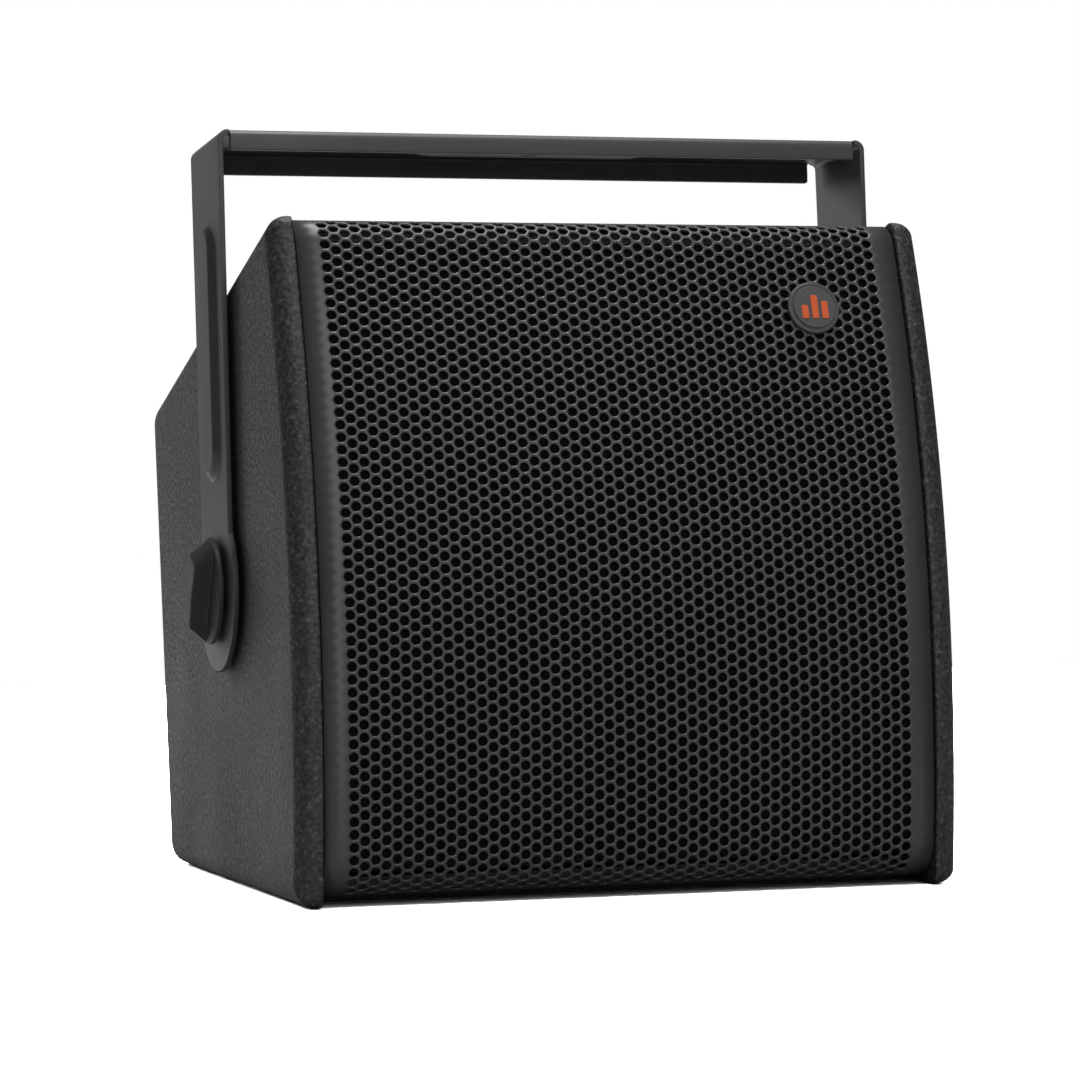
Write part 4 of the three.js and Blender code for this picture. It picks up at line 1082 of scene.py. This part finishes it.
# A generic round socket: a rolled lip, a well, and a post in its middle.
def makeSocket(name, node, side):
    floor = rearY - dish["depth"] + dish["wall"] + fitGap
    radius, well, lip, post = socket["radius"], socket["well"], socket["lip"], socket["post"]
    rim, foot, edge = socket["rim"], socket["postFoot"], socket["postEdge"]
    bottom = -socket["body"]
    inside, top = bottom + socket["wellFloor"], bottom + socket["postHeight"]
    outline = [(0, bottom), (radius, bottom), (radius, 0), (radius + rim, 0)]
    outline += arc(radius + rim / 2, lip - rim / 2, rim / 2, 0, quarter, 6)
    outline += [(well + out, lip + up) for out, up in socket["mouth"]]
    outline += [(well, inside), (post + foot, inside), (post, inside + foot)]
    outline += [(post, top - edge), (post - edge, top), (0, top)]
    place = dishPlace @ Matrix.Translation((side * dish["socketSpacing"] / 2, floor, 0))
    place = place @ Matrix.Rotation(-math.pi / 2, 4, "X")
    makePiece(name, *turned(outline), "mouldedPlastic", place, "cabinet", [node])


makeSocket("inputSocket", "input_socket", -1)
makeSocket("linkSocket", "link_socket", 1)


dishScrews = {"radius": 4.5, "head": 3, "length": 14}


def makeDishScrews():
    number = 0
    for u in (-1, 1):
        for v in (-1, 1):
            number += 1
            x = u * (dish["width"] / 2 + dish["flange"] / 2)
            z = v * (dish["height"] / 2 + dish["flange"] / 2)
            y = rearY + 2 * fitGap + dish["sheet"]
            place = dishPlace @ Matrix.Translation((x, y, z)) @ Matrix.Rotation(-math.pi / 2, 4, "X")
            shape = screwShape(dishScrews["radius"], dishScrews["head"], dishScrews["length"])
            makePiece(f"dishScrew{number}", *shape, "zincSteel", place, "cabinet", [f"dish_screw_{number}"])


makeDishScrews()

print("damping pad")

pad = {
    "thickness": 20, "pillow": 34, "dip": 3.6, "wave": 0.4, "waveScale": 0.05, "edge": 9, "edgeShare": 0.3,
    "least": 1, "overDish": 12, "underTop": 8, "columns": 72, "rows": 48,
}


# Quilted wadding on the rear panel, pulled in where it is tacked.
def makeDampingPad():
    low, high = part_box("damping_pad")
    reach = (high.x - low.x) * 1000 / 2
    rear = rearY - cabinet["thickness"] - fitGap
    bottom = -dish["drop"] + dish["height"] / 2 + dish["flange"] + pad["overDish"]
    top = faceAt(1, rear - pad["thickness"], cabinet["thickness"]) - pad["underTop"]
    columns, rows, edgeShare = pad["columns"], pad["rows"], pad["edgeShare"]
    points, faces = [], []

    def heightOf(a, b):
        edge = min(a, 1 - a) * 2 * reach, min(b, 1 - b) * (top - bottom)
        rise = 1
        for distance in edge:
            rise *= math.sqrt(max(1 - (1 - min(distance / pad["edge"], 1)) ** 2, 0))
        x, z = a * 2 * reach, b * (top - bottom)
        tack = math.sin(math.pi * x / pad["pillow"]) * math.sin(math.pi * z / pad["pillow"])
        wave = noise.noise(Vector((x, z, 0)) * pad["waveScale"])
        body = pad["thickness"] - pad["dip"] * (1 - math.sqrt(abs(tack))) - pad["wave"] * (1 + wave)
        return max(body * (edgeShare + (1 - edgeShare) * rise), pad["least"])

    for layer in (0, 1):
        for i in range(columns + 1):
            for j in range(rows + 1):
                a, b = i / columns, j / rows
                y = rear - (heightOf(a, b) if layer else 0)
                points.append((-reach + 2 * reach * a, y, bottom + (top - bottom) * b))
    wide = rows + 1
    shift = wide * (columns + 1)
    for i in range(columns):
        for j in range(rows):
            a = i * wide + j
            faces.append((a, a + wide, a + wide + 1, a + 1))
            faces.append((a + shift, a + shift + 1, a + shift + wide + 1, a + shift + wide))
    for i in range(columns):
        for a, b in ((i * wide, (i + 1) * wide), ((i + 1) * wide + rows, i * wide + rows)):
            faces.append((a, a + shift, b + shift, b))
    for j in range(rows):
        last = columns * wide
        for a, b in ((j + 1, j), (last + j, last + j + 1)):
            faces.append((a, a + shift, b + shift, b))
    piece = makePiece("dampingPad", points, faces, "acousticFoam", cabinetPlace, "cabinet",
                      ["damping_pad"], weighted=False)


makeDampingPad()

print("clamping knobs")

knob = {
    "inner": 200.6, "radius": 31, "disc": 3.6, "grip": 10.6, "halfGrip": 8.5, "reach": 30,
    "slope": 9.5, "hollow": 60, "waist": 1.4, "turn": math.radians(25), "well": 5.5, "wellDepth": 0.5,
    "backEdge": 1, "frontEdge": 1.2, "gripCorner": 2.2, "gripSteps": 40, "leastWidth": 0.05,
}
spacer = {"inner": 192.8, "outer": 195.2, "radius": 30, "hole": 6, "edge": 0.5}
washer = {"inner": 198.8, "outer": 200.3, "radius": 12, "hole": 5.5, "edge": 0.3}


def axisPlace(side, turn=0.0):
    flip = Matrix.Rotation(side * math.pi / 2, 4, "Y")
    return pivotPlace @ Matrix.Rotation(turn, 4, "X") @ flip


# A flat ring around the axis, with softened outer edges.
def softRing(settings):
    hole, radius, soft = settings["hole"], settings["radius"], settings["edge"]
    low, high = settings["inner"], settings["outer"]
    outline = [(hole, low), (radius - soft, low), (radius, low + soft)]
    outline += [(radius, high - soft), (radius - soft * 0.3, high - soft * 0.3)]
    outline += [(radius - soft, high), (hole, high)]
    return turned(outline)


# One ring of the grip: a bar with rounded corners, narrower in its middle.
def gripOutline(reach, height, inset):
    away = knob["halfGrip"] + knob["hollow"] - knob["waist"]
    steps, corner = knob["gripSteps"], knob["gripCorner"]
    points = []
    long = reach - inset
    for k in range(steps + 1):
        along = -long + 2 * long * k / steps
        width = min(knob["halfGrip"], away - math.sqrt(knob["hollow"] ** 2 - along ** 2))
        past = max(abs(along) - (long - corner), 0)
        width -= corner - math.sqrt(max(corner ** 2 - past ** 2, 0))
        points.append((along, max(width - inset, knob["leastWidth"]), height))
    return points + [(a, -w, h) for a, w, h in reversed(points)]


def makeKnob(name, node, side):
    inner, radius, well = knob["inner"], knob["radius"], knob["well"]
    back, front, top = knob["backEdge"], knob["frontEdge"], knob["grip"]
    face = inner + knob["disc"]
    inside = face - knob["wellDepth"]
    outline = [(well, inner), *arc(radius - back, inner + back, back, -quarter, 0, 6)]
    outline += arc(radius - front, face - front, front, 0, quarter, 6)
    outline += [(0, face), (0, inside), (well, inside)]
    points, faces = turned(outline)
    # height and inset of the grip's rings: a fillet on the disc, plain sides, and a rounded top
    foot = ((-0.4, -0.35), (0, -0.3), (0.35, -0.1), (0.8, 0), (top * 0.3, 0), (top * 0.6, 0))
    crown = ((-0.9, 0), (-0.55, 0.1), (-0.25, 0.32), (-0.06, 0.65), (0, 1.1), (0, 2.2))
    rings = []
    for height, inset in [*foot, *((top + height, inset) for height, inset in crown)]:
        share = max(height, 0) / top
        reach = knob["reach"] - knob["slope"] * share
        rings.append([(a, w, face + h) for a, w, h in gripOutline(reach, height, inset)])
    gripPoints, gripFaces = loft(rings)
    # local x runs along the bar, which stands upright before the knob is turned
    upright = Matrix.Rotation(math.pi, 4, "Z")
    gripPoints = [tuple(upright @ Vector(p)) for p in gripPoints]
    faces = faces + [tuple(i + len(points) for i in corners) for corners in gripFaces]
    points = points + gripPoints
    # the body that carries the knob has the same name as its node
    makePiece(name, points, faces, "mouldedPlastic", axisPlace(side, knob["turn"]), node, [node])


for word, side in (("left", -1), ("right", 1)):
    makePiece(f"{word}Spacer", *softRing(spacer), "softRubber", axisPlace(side), "cabinet",
              [f"{word}_spacer"])
    makePiece(f"{word}KnobWasher", *softRing(washer), "zincSteel", axisPlace(side), f"{word}_washer",
              [f"{word}_knob_washer"])
    makeKnob(f"{word}Knob", f"{word}_knob", side)

print("pieces kept from the frame")

# nodes inside the cabinet keep their own shape and get a finish
kept = {
    "stainedPlywood": ["front_baffle"],
    "mouldedPlastic": ["left_port_tube", "right_port_tube", "horn_flare", "hf_rear_cover"],
    "castAlloy": ["woofer_frame"],
    "softRubber": ["woofer_gasket", "woofer_surround", "input_lead", "driver_lead"],
    "coneFibre": ["woofer_cone"],
    "copperWire": ["voice_coil", "hf_diaphragm", "inductor_1", "inductor_2"],
    "spiderCloth": ["woofer_spider"],
    "zincSteel": ["top_plate", "back_plate", "driver_screw_1", "driver_screw_2", "driver_screw_3",
                  "driver_screw_4", "left_threaded_insert", "right_threaded_insert",
                  "left_knob_stud", "right_knob_stud"],
    "ferrite": ["magnet", "hf_magnet"],
    "circuitBoard": ["crossover_board"],
    "filmCapacitor": ["capacitor_1", "capacitor_2"],
}
for finishName, nodeNames in kept.items():
    for nodeName in nodeNames:
        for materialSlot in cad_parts[nodeName].material_slots:
            materialSlot.material = finishes[finishName]

print("floor")

floorSettings = {"half": 3.0, "drop": 0.0004, "seen": 0.92, "bounced": 0.05, "roughness": 0.9}


def makeFloor():
    half, low = floorSettings["half"], -floorSettings["drop"]
    mesh = bpy.data.meshes.new("floor")
    mesh.from_pydata([(-half, -half, low), (half, -half, low), (half, half, low), (-half, half, low)],
                     [], [(0, 1, 2, 3)])
    finish = bpy.data.materials.new("paleFloor")
    finish.use_nodes = True
    tree = finish.node_tree
    shader = tree.nodes["Principled BSDF"]
    shader.inputs["Roughness"].default_value = floorSettings["roughness"]
    shader.inputs["Specular IOR Level"].default_value = 0.0
    # the pale floor is seen pale, but throws little light back up under the cabinet
    rays = put(tree, "ShaderNodeLightPath")
    tone = put(tree, "ShaderNodeMapRange", {
        "Value": rays.outputs["Is Camera Ray"],
        "To Min": floorSettings["bounced"],
        "To Max": floorSettings["seen"],
    })
    tree.links.new(tone.outputs["Result"], shader.inputs["Base Color"])
    mesh.materials.append(finish)
    floor = bpy.data.objects.new("floor", mesh)
    bpy.context.scene.collection.objects.link(floor)
    # the wash lights the floor alone
    lit = bpy.data.collections.new("floorOnly")
    lit.objects.link(floor)
    washLight.light_linking.receiver_collection = lit


makeFloor()

print("finishing")
